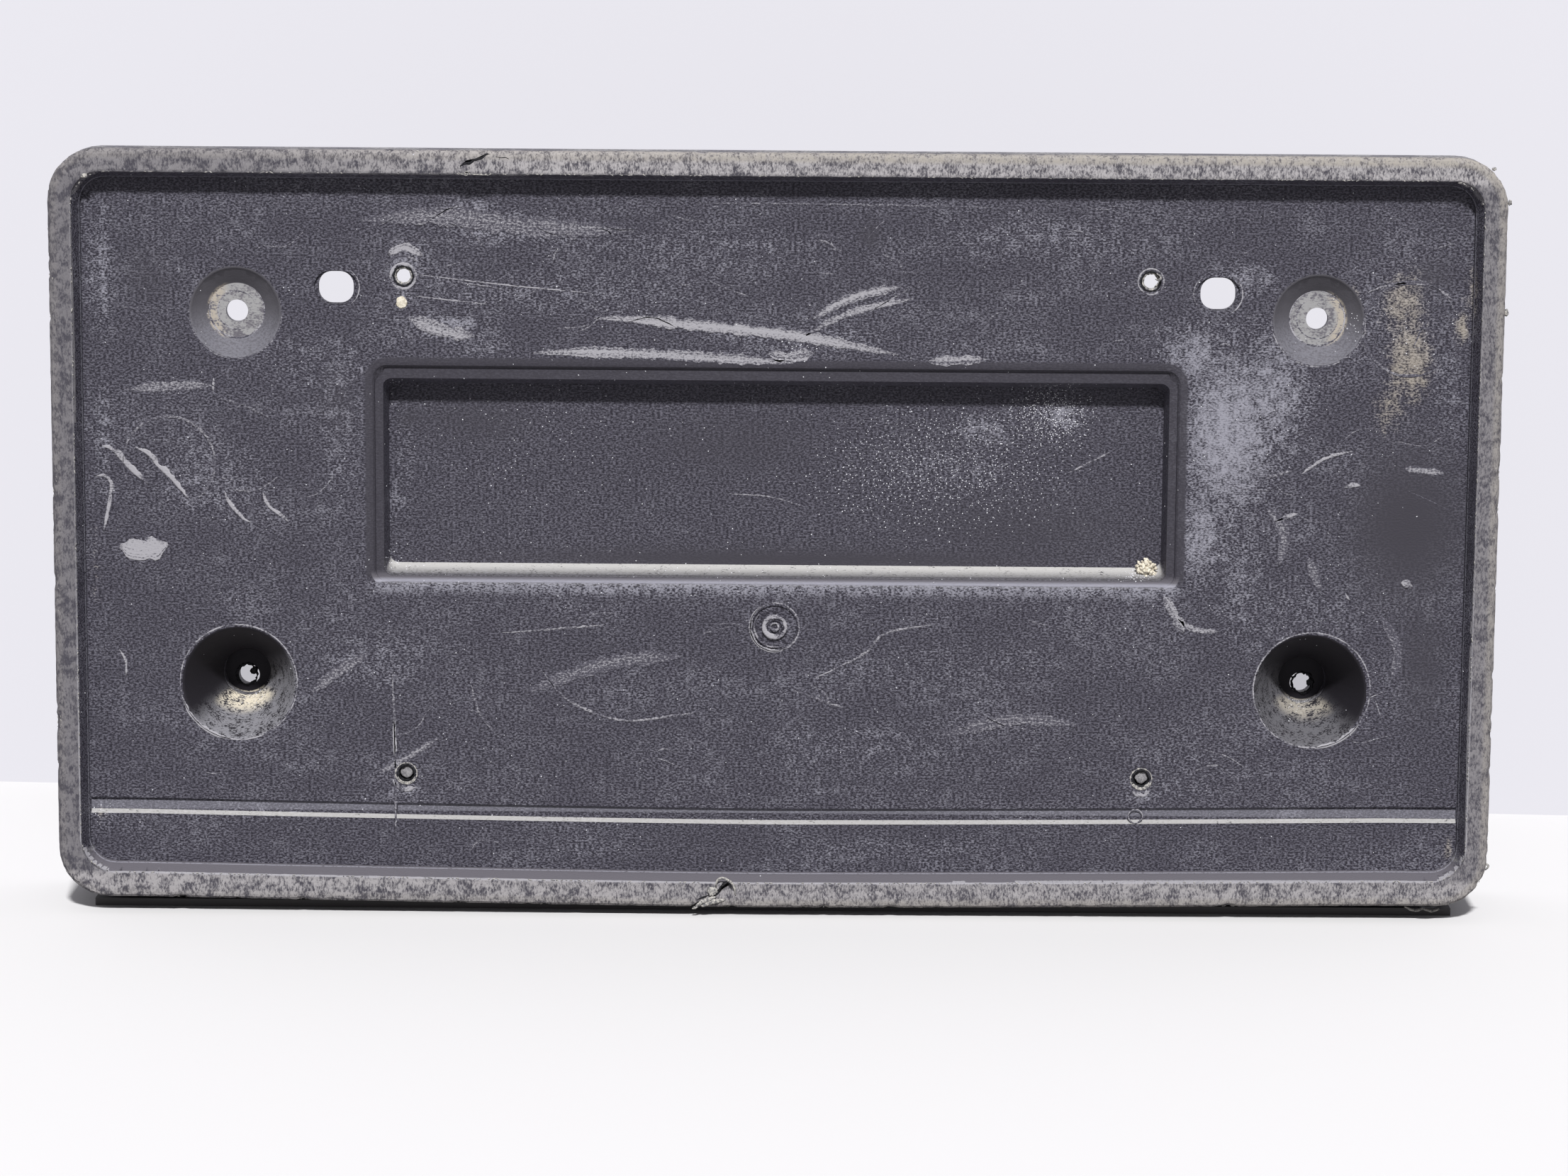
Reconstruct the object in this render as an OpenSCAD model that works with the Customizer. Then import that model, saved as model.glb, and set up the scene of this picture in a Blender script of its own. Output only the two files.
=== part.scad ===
// Front number plate holder of a car, one injection-moulded piece.
// X runs to the right seen from the front, Z up, and the front faces -Y.
// The origin is the centre of the four small plate holes, on the face that the plate lies on.

/* [Plate pocket] */
// Clear width of the pocket at its floor
pocket_w = 331; // [312:0.5:380]
// Clear height of the pocket at its floor
pocket_h = 165.9; // [158:0.1:200]
// Height of the pocket's centre above the origin
pocket_z = 0.6; // [0:0.1:2]
// Corner radius of the pocket
pocket_r = 7; // [4:0.5:9]
// How far the rim stands in front of the floor
rim_h = 6; // [4.5:0.1:10]
// How much the pocket's wall leans out, on each side
wall_lean = 1.4; // [0.4:0.1:2]
// Height of the upright ledge at the foot of that wall
ledge_h = 1.5; // [0.5:0.1:3]

/* [Rim] */
// Width of the rim's face at the sides
rim_side = 5.6; // [4.8:0.1:9]
// Width of the rim's face along the top
rim_top = 5.55; // [4.8:0.05:10]
// Width of the rim's face along the bottom
rim_bottom = 6.35; // [4.8:0.05:10]
// Corner radius of the rim, seen from the front
outer_r = 12; // [8:0.5:20]
// Rounding of the rim's outer front edge
rim_edge = 1.4; // [0.4:0.1:2]
// Rounding of the rim's inner front edge
rim_lip = 0.5; // [0.2:0.1:1]

/* [Walls] */
// Thickness of the floor, the recess and the cones
floor_t = 2.4; // [1.8:0.1:3]
// Thickness of the outer skirt
skirt_t = 2.2; // [1.6:0.1:2.6]
// Thickness of the rim's front wall
rim_t = 2.2; // [1.6:0.1:3]
// Thickness of the pocket's wall beside the rim
pocket_t = 1.9; // [1.4:0.1:2.1]
// Thickness of the ribs at the back
rib_t = 1.6; // [1:0.1:2.4]

/* [Fit to the bumper] */
// Depth from the rim's face to the bumper, along the top
depth_top = 9; // [8.6:0.1:14]
// Depth from the rim's face to the bumper, along the bottom
depth_bottom = 36.5; // [32:0.5:48]
// How far the skirt widens to the back, in degrees
skirt_draft = 0.5; // [0:0.1:1]

/* [Recess] */
// Width of the recess at the floor
recess_w = 194; // [150:1:220]
// Height of the recess at the floor
recess_h = 53.9; // [40:0.1:60]
// Height of the recess's centre above the origin
recess_z = 12.55; // [8:0.05:14]
// Depth of the recess below the floor
recess_d = 8; // [4:0.2:8]
// Corner radius of the recess
recess_r = 3.9; // [3.4:0.1:8]
// Rounding of the recess's outer edge
recess_edge = 1.1; // [0.4:0.1:1.6]
// Width of the narrow ledge round the recess, at the sides
ledge_side = 1.9; // [0.6:0.1:2.2]
// Width of that ledge along the top and the bottom
ledge_end = 1.1; // [0.6:0.1:2.2]
// How much the recess's side walls lean
lean_side = 0.8; // [0.2:0.1:1.4]
// How much its top and bottom walls lean
lean_end = 2.4; // [0.4:0.1:2.6]

/* [Plate fixings] */
// Distance between the small holes, across
small_dx = 177.8; // [170:0.1:185]
// Distance between the small holes, up
small_dz = 120.65; // [115:0.05:125]
// Diameter of the small holes
small_d = 4; // [3:0.1:4.5]
// Diameter of the bevel at the mouth of each small hole
bevel_d = 5.2; // [4.8:0.1:6.2]
// Depth of that bevel
bevel_h = 0.3; // [0.1:0.1:0.4]
// Diameter of the pad behind each small hole
pad_d = 9; // [7:0.5:12]
// Height of that pad above the floor's back
pad_h = 1; // [0.5:0.1:4]
// Distance between the slots
slot_dx = 210; // [205:0.5:215]
// Height of the slots above the origin
slot_z = 57.5; // [54:0.5:62]
// Height of a slot
slot_h = 7.6; // [6:0.1:8]
// Length of a slot, across
slot_l = 8.4; // [8.2:0.1:12]
// Length of the shallow seat round each slot
seat_l = 10.4; // [9:0.1:14]
// Height of that seat
seat_h = 8; // [7.8:0.1:8.6]
// Depth of that seat
seat_d = 0.8; // [0.3:0.1:1.4]

/* [Bumper screws] */
// Distance between the left and right screws
screw_dx = 258; // [252:1:264]
// Height of the upper screws above the origin
upper_z = 51.4; // [48:0.2:56]
// Diameter of the upper cones at the floor
upper_d = 22.2; // [19:0.2:24]
// Diameter of the flat seat in the upper cones
upper_seat_d = 13.4; // [10:0.2:15]
// Depth of the upper cones
upper_h = 3.5; // [2:0.1:4]
// Diameter of the upper screw holes
upper_hole_d = 5.3; // [4:0.1:6]
// Drop of the lower cones below the origin
lower_z = 38.4; // [35:0.1:42]
// Diameter of the lower cones at the floor
lower_d = 28; // [26:0.2:31]
// Depth of the lower cones down to their bore
lower_h = 16; // [13:0.5:16.5]
// Diameter of the bore that takes the screw head
head_d = 11.6; // [9:0.2:13]
// Depth of that bore
head_h = 3.8; // [2:0.1:4]
// Diameter of the lower screw holes
lower_hole_d = 5.1; // [4:0.1:6]
// How far the lower screw holes sit below the middle of their bore
lower_hole_drop = 1.4; // [0:0.1:1.6]
// Rounding of the cones' edges
cone_lip = 0.9; // [0.3:0.1:1.4]

/* [Groove and marks] */
// Distance of the groove's upper edge below the origin
groove_top = 66.7; // [64.5:0.1:68]
// Width of the groove at the floor
groove_w = 3.9; // [3:0.1:5]
// Depth of the groove
groove_d = 1.9; // [1:0.1:2.4]
// How much the groove's lower side slopes
groove_lean = 0.9; // [0.2:0.1:1.4]
// Diameter of the round moulding mark under the recess
gate_d = 11.6; // [8:0.2:14]
// Distance of that mark below the origin
gate_z = 24; // [23:0.2:28]

/* [Ribs at the back] */
// Number of gussets along the bottom skirt
gusset_n = 4; // [2:1:6]
// Distance between two of these gussets
gusset_dx = 84; // [40:1:88]
// Height of a gusset above the pocket's lower wall
gusset_h = 11; // [4:1:16]
// Reach of the fins round the lower bosses
fin_l = 9; // [4:0.5:12]

/* [Damage] */
// Distance of the crack in the top rim from the middle, to the left
crack_x = 71.8; // [60:0.1:90]
// Distance of the tear in the bottom rim from the middle, to the left
tear_x = 14.2; // [5:0.1:40]

/* [Hidden] */
outer_w = pocket_w + 2 * (wall_lean + rim_side);
outer_h = pocket_h + 2 * wall_lean + rim_top + rim_bottom;
outer_z = pocket_z + (rim_top - rim_bottom) / 2;
outer_low = outer_z - outer_h / 2;
outer_high = outer_z + outer_h / 2;
corner_n = 8;         // straight facets in each rounded corner
round_fn = 64;        // smoothness of the true circles in a preview
past = 1;             // how far a cut runs past the face it starts from
far_back = 60;        // behind everything
rim_y = -rim_h;       // the rim's front face
rim_open_w = pocket_w + 2 * wall_lean;
rim_open_h = pocket_h + 2 * wall_lean;
pan_w = rim_open_w + 2 * pocket_t;
pan_h = rim_open_h + 2 * pocket_t;
pan_low = pocket_z - pan_h / 2;
pan_r = pocket_r + pocket_t;
lower_screw_z = -lower_z - lower_hole_drop;
deep_w = recess_w - 2 * (recess_edge + ledge_side);
deep_h = recess_h - 2 * (recess_edge + ledge_end);
deep_r = recess_r - recess_edge - 0.6;

// Points of a rectangle with rounded corners, anticlockwise
function round_rect(w, h, r) = [
    for (corner = [[1, 1, 0], [-1, 1, 90], [-1, -1, 180], [1, -1, 270]])
        for (i = [0 : corner_n])
            let (a = corner[2] + 90 * i / corner_n)
                [corner[0] * (w / 2 - r) + r * cos(a), corner[1] * (h / 2 - r) + r * sin(a)]
];

// A solid through rounded rectangles that stand one behind the other.
// Each section is [y, width, height, corner radius].
module lofted(sections, centre_z = 0) {
    loops = [for (s = sections) [for (p = round_rect(s[1], s[2], s[3])) [p[0], s[0], p[1] + centre_z]]];
    n = len(loops[0]);
    last = len(loops) - 1;
    sides = [
        for (k = [0 : last - 1])
            for (i = [0 : n - 1])
                let (j = (i + 1) % n)
                    [k * n + i, k * n + j, (k + 1) * n + j, (k + 1) * n + i]
    ];
    front = [[for (i = [n - 1 : -1 : 0]) i]];
    back = [[for (i = [0 : n - 1]) last * n + i]];
    polyhedron(points = [for (loop = loops) for (p = loop) p], faces = concat(front, sides, back));
}

// Places a shape that is drawn along Z so that it runs back from the floor at (x, z)
module at(x, z) {
    translate([x, 0, z]) rotate([-90, 0, 0]) children();
}

// Draws a (y, z) outline across the whole width w
module across(w) {
    translate([-w / 2, 0, 0]) rotate([90, 0, 90]) linear_extrude(w) children();
}

// Depth of the bumper behind the floor, at the height z
function bumper_y(z) = rim_y + depth_bottom + (depth_top - depth_bottom) * (z - outer_low) / outer_h;

// Everything in front of the sloping bumper
module in_front_of_bumper() {
    reach = outer_h;
    across(outer_w + 40) polygon([
        [rim_y - past, -reach],
        [bumper_y(-reach), -reach],
        [bumper_y(reach), reach],
        [rim_y - past, reach]
    ]);
}

// Solid outer form, from the rounded front edge back over the skirt
module outer_form() {
    spread = 2 * (far_back - rim_y) * tan(skirt_draft);
    edge = [
        for (a = [0 : 30 : 90])
            let (inset = rim_edge * (1 - sin(a)), y = rim_y + rim_edge * (1 - cos(a)))
                [y, outer_w - 2 * inset, outer_h - 2 * inset, outer_r - inset]
    ];
    lofted(concat(edge, [[far_back, outer_w + spread, outer_h + spread, outer_r]]), outer_z);
}

// Hollow behind the rim and the skirt
module skirt_hollow() {
    start = rim_y + rim_t;
    function spread(y) = 2 * (y - rim_y) * tan(skirt_draft);
    lofted([
        for (y = [start, far_back + past])
            [y, outer_w - 2 * skirt_t + spread(y), outer_h - 2 * skirt_t + spread(y), outer_r - skirt_t]
    ], outer_z);
}

// Block that the pocket is cut from: its wall beside the rim and its floor
module pan() {
    lofted([
        [rim_y + rim_t / 2, pan_w, pan_h, pan_r],
        [floor_t, pan_w, pan_h, pan_r]
    ], pocket_z);
}

// The pocket for the plate, with its leaning wall and the upright ledge at the foot
module pocket_cut() {
    lofted([
        [rim_y - past, rim_open_w + 2 * rim_lip, rim_open_h + 2 * rim_lip, pocket_r + rim_lip],
        [rim_y, rim_open_w + 2 * rim_lip, rim_open_h + 2 * rim_lip, pocket_r + rim_lip],
        [rim_y + 0.3 * rim_lip, rim_open_w + 0.6 * rim_lip, rim_open_h + 0.6 * rim_lip, pocket_r + 0.3 * rim_lip],
        [rim_y + rim_lip, rim_open_w, rim_open_h, pocket_r],
        [-ledge_h, pocket_w, pocket_h, pocket_r - wall_lean / 2],
        [0, pocket_w, pocket_h, pocket_r - wall_lean / 2]
    ], pocket_z);
}

// The shallow recess in the middle of the floor
module recess_cut() {
    edge = [
        for (a = [0 : 30 : 90])
            let (inset = recess_edge * sin(a), y = recess_edge * (1 - cos(a)))
                [y, recess_w - 2 * inset, recess_h - 2 * inset, recess_r - inset]
    ];
    lofted(concat([[-past / 2, recess_w, recess_h, recess_r]], edge), recess_z);
    lofted([
        [recess_edge - 0.1, deep_w, deep_h, deep_r],
        [recess_d, deep_w - 2 * lean_side, deep_h - 2 * lean_end, deep_r]
    ], recess_z);
}

// The recess's own wall behind the floor
module recess_shell() {
    wide = 2 * floor_t;
    lofted([
        [floor_t / 2, recess_w + floor_t, recess_h + floor_t, recess_r + floor_t / 2],
        [recess_edge + floor_t, recess_w + floor_t, recess_h + floor_t, recess_r + floor_t / 2],
        [recess_edge + floor_t + ledge_side, deep_w + wide, deep_h + wide - 0.4 * lean_end, deep_r + floor_t],
        [recess_d + floor_t, deep_w + wide - 2 * lean_side, deep_h + wide - 2 * lean_end, deep_r + floor_t]
    ], recess_z);
}

// Points of a cone's rounded edge, from the floor inwards
function lip_points(r) = [for (a = [0 : 16 : 64]) [r - cone_lip * sin(a), cone_lip * (1 - cos(a))]];

// Cut of a screw cone: rounded edge, then a cone down to the radius r_in
module cone_cut(r_top, r_in, depth) {
    rotate_extrude($fn = round_fn) polygon(concat(
        [[0, -past / 2], [r_top, -past / 2]],
        lip_points(r_top),
        [[r_in, depth], [0, depth]]
    ));
}

// Hollow in the back of an upper boss, round its screw
module upper_core() {
    translate([0, 0, upper_h + floor_t]) cylinder(d = upper_seat_d, h = far_back, $fn = round_fn);
}

// The wall of a screw cone behind the floor
module cone_shell(r_top, r_in, depth) {
    rotate_extrude($fn = round_fn) polygon([
        [0, floor_t / 2],
        [r_top + floor_t / 2, floor_t / 2],
        [r_top + floor_t / 2, floor_t],
        [r_in + floor_t, depth + 0.3 * floor_t],
        [r_in + floor_t, far_back],
        [0, far_back]
    ]);
}

// Four upright fins that brace a lower boss
module boss_fins() {
    reach = lower_d / 2 + fin_l;
    for (turn = [0, 90]) rotate([0, 0, turn]) rotate([90, 0, 0])
        translate([0, 0, -rib_t / 2]) linear_extrude(rib_t) polygon([
            [-reach, floor_t / 2],
            [reach, floor_t / 2],
            [head_d / 2 + floor_t / 2, lower_h + head_h / 2],
            [-head_d / 2 - floor_t / 2, lower_h + head_h / 2]
        ]);
}

// The pad behind one of the small holes
module small_pad() {
    translate([0, 0, floor_t / 2]) cylinder(d = pad_d, h = floor_t / 2 + pad_h, $fn = round_fn);
}

// One small plate hole with the bevel at its mouth
module small_hole() {
    rotate_extrude($fn = round_fn) polygon([
        [0, -past / 2],
        [bevel_d / 2, -past / 2],
        [bevel_d / 2, 0],
        [small_d / 2, bevel_h],
        [small_d / 2, far_back],
        [0, far_back]
    ]);
}

// Outline of a slot with round ends, l long and h high
module slot_outline(l, h) {
    for (side = [-1, 1]) translate([side * (l - h) / 2, 0]) circle(d = h, $fn = round_fn);
    square([l - h, h], center = true);
}

// One slot for the wider plate, with the shallow seat round it
module slot() {
    translate([0, 0, -past]) linear_extrude(past + seat_d) slot_outline(seat_l, seat_h);
    linear_extrude(far_back) slot_outline(slot_l, slot_h);
}

// The groove across the floor above the bottom edge
module groove_cut() {
    across(pocket_w - 0.4) polygon([
        [-0.4, -groove_top],
        [0, -groove_top],
        [groove_d, -groove_top - 0.4],
        [groove_d, -groove_top - groove_w + groove_lean],
        [0, -groove_top - groove_w],
        [-0.4, -groove_top - groove_w]
    ]);
}

// The groove's own wall behind the floor
module groove_shell() {
    across(pan_w - 2 * pocket_t) polygon([
        [floor_t / 2, -groove_top + floor_t],
        [floor_t, -groove_top + floor_t],
        [groove_d + floor_t, -groove_top + floor_t / 2],
        [groove_d + floor_t, -groove_top - groove_w - floor_t / 2],
        [floor_t, -groove_top - groove_w - floor_t],
        [floor_t / 2, -groove_top - groove_w - floor_t]
    ]);
}

// Gussets between the floor and the bottom skirt
module bottom_gussets() {
    foot = outer_low + skirt_t / 2;
    deep = bumper_y(foot) - 4;
    for (i = [0 : gusset_n - 1]) {
        x = (i - (gusset_n - 1) / 2) * gusset_dx;
        translate([x, 0, 0]) across(rib_t) polygon([
            [floor_t / 2, foot],
            [deep, foot],
            [deep, foot + skirt_t],
            [floor_t / 2, pan_low + gusset_h]
        ]);
    }
}

// Shallow round mark where the plastic was shot in, with its ring and stub
module gate_mark() {
    rotate_extrude($fn = round_fn) polygon([
        [0, 0.15],
        [0.8, 0.15],
        [0.9, 0.45],
        [1.6, 0.45],
        [1.9, 0.1],
        [2.3, 0.1],
        [2.6, 0.5],
        [gate_d / 2 - 0.4, 0.5],
        [gate_d / 2, -past / 2],
        [0, -past / 2]
    ]);
}

// Crack through the front of the top rim
module rim_crack() {
    translate([-crack_x, 0, outer_high - 0.4 * rim_top]) rotate([90, 0, 0])
        translate([0, 0, rim_h - rim_t - 0.6]) linear_extrude(rim_t + past + 0.6) polygon([
            [-3, -1.6], [-1.2, -0.6], [0.9, -0.1], [3.1, 1.2], [4.2, 1.5],
            [3, 1.6], [0.6, 0.4], [-1.5, 0], [-3.1, -1.3]
        ]);
}

// Tear through the front of the bottom rim
module rim_tear() {
    translate([-tear_x, 0, outer_low + 0.44 * rim_bottom]) rotate([90, 0, 0])
        translate([0, 0, rim_h - rim_t - 0.6]) linear_extrude(rim_t + past + 0.6) polygon([
            [-5.2, -3.4], [-3.4, -2.2], [-1.1, -1.5], [0.6, 0.2], [1.9, 1.5], [4.3, 3.4],
            [3.2, 3.4], [1.1, 1.9], [-0.5, 0.7], [-1.7, -0.7], [-4, -1.4], [-5.8, -2.9]
        ]);
}

// The whole moulding
module plate_holder() {
    color([0.16, 0.16, 0.17]) difference() {
        intersection() {
            union() {
                difference() {
                    outer_form();
                    skirt_hollow();
                }
                pan();
                recess_shell();
                groove_shell();
                bottom_gussets();
                for (side = [-1, 1]) {
                    at(side * screw_dx / 2, upper_z) cone_shell(upper_d / 2, upper_seat_d / 2, upper_h);
                    at(side * screw_dx / 2, -lower_z) cone_shell(lower_d / 2, head_d / 2, lower_h);
                    at(side * screw_dx / 2, -lower_z) boss_fins();
                    for (row = [-1, 1]) at(side * small_dx / 2, row * small_dz / 2) small_pad();
                }
            }
            in_front_of_bumper();
        }
        pocket_cut();
        recess_cut();
        groove_cut();
        rim_crack();
        rim_tear();
        at(0, -gate_z) gate_mark();
        for (side = [-1, 1]) {
            at(side * screw_dx / 2, upper_z) cone_cut(upper_d / 2, upper_seat_d / 2, upper_h);
            at(side * screw_dx / 2, upper_z) cylinder(d = upper_hole_d, h = far_back, $fn = round_fn);
            at(side * screw_dx / 2, upper_z) upper_core();
            at(side * screw_dx / 2, -lower_z) cone_cut(lower_d / 2, head_d / 2, lower_h);
            at(side * screw_dx / 2, -lower_z) cylinder(d = head_d, h = lower_h + head_h, $fn = round_fn);
            at(side * screw_dx / 2, lower_screw_z) cylinder(d = lower_hole_d, h = far_back, $fn = round_fn);
            at(side * slot_dx / 2, slot_z) slot();
            for (row = [-1, 1]) at(side * small_dx / 2, row * small_dz / 2) small_hole();
        }
    }
}

plate_holder();
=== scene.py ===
import math
import random
import bpy
import bmesh
from mathutils import Matrix, Vector, noise


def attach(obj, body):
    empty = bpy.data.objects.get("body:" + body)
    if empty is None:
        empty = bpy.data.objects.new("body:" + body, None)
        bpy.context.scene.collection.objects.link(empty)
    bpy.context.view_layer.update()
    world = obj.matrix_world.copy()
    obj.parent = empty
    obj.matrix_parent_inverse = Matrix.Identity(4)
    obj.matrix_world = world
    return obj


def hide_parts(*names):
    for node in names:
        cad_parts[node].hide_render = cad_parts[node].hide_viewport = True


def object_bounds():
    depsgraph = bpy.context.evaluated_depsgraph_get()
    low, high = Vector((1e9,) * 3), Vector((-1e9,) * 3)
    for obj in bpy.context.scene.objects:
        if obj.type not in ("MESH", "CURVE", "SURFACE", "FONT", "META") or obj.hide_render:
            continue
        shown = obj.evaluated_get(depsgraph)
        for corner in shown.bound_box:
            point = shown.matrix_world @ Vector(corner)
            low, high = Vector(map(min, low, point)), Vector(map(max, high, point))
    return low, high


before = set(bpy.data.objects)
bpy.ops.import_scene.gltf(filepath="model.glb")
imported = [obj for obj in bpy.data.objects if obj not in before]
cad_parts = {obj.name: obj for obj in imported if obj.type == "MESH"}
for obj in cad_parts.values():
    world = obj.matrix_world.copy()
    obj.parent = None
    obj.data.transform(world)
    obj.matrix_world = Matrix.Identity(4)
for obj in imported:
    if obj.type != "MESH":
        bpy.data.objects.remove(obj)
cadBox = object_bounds()
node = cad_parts["plate_holder"]
scene = bpy.context.scene
mm = 0.001


def addObject(name, data):
    made = bpy.data.objects.new(name, data)
    scene.collection.objects.link(made)
    return made


def takeMesh(bm, name):
    mesh = bpy.data.meshes.new(name)
    bm.to_mesh(mesh)
    bm.free()
    return mesh


def addPiece(name, mesh):
    piece = addObject(name, mesh)
    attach(piece, "root")


# Camera, in front of the plate face and a little above it
cameraSetup = {
    "x": 4.26 * mm,
    "distance": 1076.85 * mm,  # from the plate face
    "z": 158.28 * mm,
    "pitchDown": 9.096,  # degrees
    "yaw": 0.18,
    "roll": -0.447,
    "focalPixels": 6400,
    "pixelsWide": 2212,  # of the photograph
    "sensor": 36,  # mm
}


def makeCamera(c):
    pitch, yaw, roll = (math.radians(c[name]) for name in ("pitchDown", "yaw", "roll"))
    turn = Matrix.Rotation(roll, 3, "Y") @ Matrix.Rotation(-pitch, 3, "X") @ Matrix.Rotation(yaw, 3, "Z")
    right, ahead, up = turn.col
    data = bpy.data.cameras.new("studioCamera")
    data.sensor_fit = "HORIZONTAL"
    data.sensor_width = c["sensor"]
    data.lens = c["focalPixels"] / c["pixelsWide"] * c["sensor"]
    data.clip_start, data.clip_end = 0.05, 50
    scene.camera = addObject("studioCamera", data)
    place = Matrix((right, up, -ahead)).transposed().to_4x4()
    place.translation = Vector((c["x"], -c["distance"], c["z"]))
    scene.camera.matrix_world = place


makeCamera(cameraSetup)
print("camera set")

# Outlines of the moulding seen from the front, in mm: half sizes, height of the middle, corner radius
outlines = {
    "outer": (172.5, 90.3, 0.2, 12),
    "pocket": (165.5, 82.95, 0.6, 7),
    "recess": (97, 26.95, 12.55, 3.9),
}

# The lower edge is bowed: most at one place across, none at the ends
sag = {"drop": 1.6, "across": -3, "reach": 150, "power": 1.35, "fullBelow": -66, "noneAbove": -61}


def smooth(value, low, high):
    t = min(max((value - low) / (high - low), 0), 1)
    return t * t * (3 - 2 * t)


def sagAt(x, z):
    share = min(abs(x - sag["across"]) / sag["reach"], 1)
    return sag["drop"] * (1 - share ** sag["power"]) * smooth(z, sag["noneAbove"], sag["fullBelow"])


def outlineDistance(x, z, name):
    halfWide, halfHigh, up, corner = outlines[name]
    across, along = abs(x) - halfWide + corner, abs(z - up) - halfHigh + corner
    return math.hypot(max(across, 0), max(along, 0)) + min(max(across, along), 0) - corner


# The moulding: a merged copy of the CAD solid, cut finer, bowed, and roughened along its worn rim
mouldingSetup = {
    "panCut": 3.0,  # mm between cuts over the front of the pan
    "panBack": 2.3,  # the pan's finish ends at this depth
    "rimBack": -3.0,  # the rim's worn finish ends at this depth
    "rimFrom": 1.25,  # mm out from the pocket
    "rimCut": 1.3,  # mm between cuts along the rim
    "landCuts": (1.1, 2.2, 3.3, 4.4),  # mm out from the pocket, across the rim
    "bowCuts": (-61, -62, -63, -64, -65, -66),
    "roughHeight": 0.11,  # mm
    "roughSide": 0.09,
    "roughGrain": 1.4,
    "coarseGrain": 7,
    "nickGrain": 2.3,
    "nickDepth": 2.0,
    "nickFrom": 0.32,  # share of the noise that leaves no nick
    "ledge": ((97.5, 1.02, 30), (97.5, 8.2, 38.3)),  # half width, then depth and height, from and to
    "ledgeDrop": 1.5,
    "groove": ((167, 0.05, -71.2), (167, 1.95, -66.4)),
    "grooveShare": 0.42,  # of the groove's depth
    "sharpAngle": 27,  # degrees
    "seed": 3,
}

# Soft wear on the pan: (across, up, reach across, reach up, strength) in mm from the middle
panWear = {
    "haze": [
        (108, 24, 19, 34, 1), (118, 34, 15, 24, 0.8), (102, 0, 9, 22, 0.8), (100, 42, 10, 14, 0.8),
        (-65, 73, 36, 5, 0.5), (-80, 48, 11, 4.5, 0.5), (112, 61, 12, 7, 0.6), (-88, 63.5, 6, 5.5, 0.8),
        (5, 46, 45, 7, 0.4), (68, 27, 9, 6, 0.7), (50, 24, 12, 7, 0.55), (42, 14, 26, 12, 0.3),
        (-151, -6, 7, 3, 1), (-89, -64.5, 6, 2.6, 0.8), (89, -65, 6, 2.6, 0.8), (-98, -33, 24, 12, 0.4),
        (-136, 12, 26, 16, 0.4), (138, 52, 20, 12, 0.35), (20, -52, 60, 12, 0.25), (-88, 55, 5, 2, 0.6),
        (160, 36, 7, 16, 0.4), (-90, 14, 5, 26, 0.3), (-110, 40, 30, 14, 0.3), (40, -32, 60, 10, 0.25),
        (-20, 68, 60, 8, 0.35), (100, -58, 40, 14, 0.25), (-125, -70, 40, 6, 0.25), (30, -78, 60, 5, 0.3),
        (120, -20, 30, 18, 0.3), (-92, 3, 4, 12, 0.4), (112, -12, 9, 26, 0.5), (-161, 62, 5, 26, 0.6),
        (-161, 20, 4, 24, 0.5), (-74, 76, 14, 4, 0.7), (-62, 70, 26, 4, 0.6), (-78, 48.5, 11, 4, 0.85),
        (-70, 44, 12, 4, 0.5), (-105, 22, 9, 26, 0.4), (-104, 38, 8, 10, 0.45), (60, 70, 40, 10, 0.4),
        (96, 44, 10, 12, 0.6), (118, 30, 10, 20, 0.55), (-50, 56, 60, 10, 0.35),
    ],
    "tan": [
        (149, 55, 9, 14, 0.85), (151, 42, 9, 17, 1), (162.9, 49.7, 3.2, 6, 1.3), (-163, -70.5, 2, 2, 1),
        (146, 30, 6, 9, 0.75), (137, 57, 3, 5, 0.7), (138.2, 49, 3, 6, 0.8), (165, 58, 2.5, 12, 0.7),
        (163.6, -77, 1.8, 5, 0.8), (-164, -10, 2, 20, 0.4),
    ],
    "smoothDark": [
        (0, -8.5, 110, 5, 1), (60, 0, 45, 12, 0.5), (22, 71, 4, 4.5, 0.9), (3, 57.5, 2, 3, 0.7),
        (152, 2, 22, 30, 1), (156, -30, 9, 26, 0.6), (-10, 20, 30, 12, 0.4), (-72, 25, 22, 8, 0.5),
        (155, 62, 9, 6, 0.6), (-150, 60, 10, 12, 0.4), (-105, 30, 7, 13, 0.5), (-88, 26, 5, 3.5, 0.8),
    ],
}

# Screw cones and slots on both sides: across, up, then the radii of mouth and seat or the half sizes
lowerCone = {"across": 129.4, "up": -38.2, "mouth": 14.0, "seat": 5.9}
upperCone = {"across": 129.0, "up": 51.5, "mouth": 11.1, "seat": 6.7, "depth": 3.5}
slotShape = {"across": 105, "up": 57.5, "straight": 0.4, "round": 3.8, "halfWide": 4.2, "corner": 3.3}


def cutFaces(bm, faces, axis, places):
    geometry = list(faces)
    for face in faces:
        geometry.extend(face.edges)
        geometry.extend(face.verts)
    geometry = list(dict.fromkeys(geometry))
    normal = Vector((0, 0, 0))
    normal[axis] = 1
    for place in places:
        cut = bmesh.ops.bisect_plane(
            bm, geom=geometry, dist=1e-7, plane_co=normal * place * mm, plane_no=normal
        )
        geometry = cut["geom"]


def span(low, high, step):
    count = int((high - low) / step)
    return [low + (high - low) * (i + 0.5) / count for i in range(count)]


def middleOf(face):
    return face.calc_center_median() / mm


def onRim(place, back):  # on the land round the pocket with its outer rounding, not in the pocket
    return place.y < back and outlineDistance(place.x, place.z, "pocket") > mouldingSetup["rimFrom"]


def isRim(face):
    return onRim(middleOf(face), mouldingSetup["rimBack"])


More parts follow.
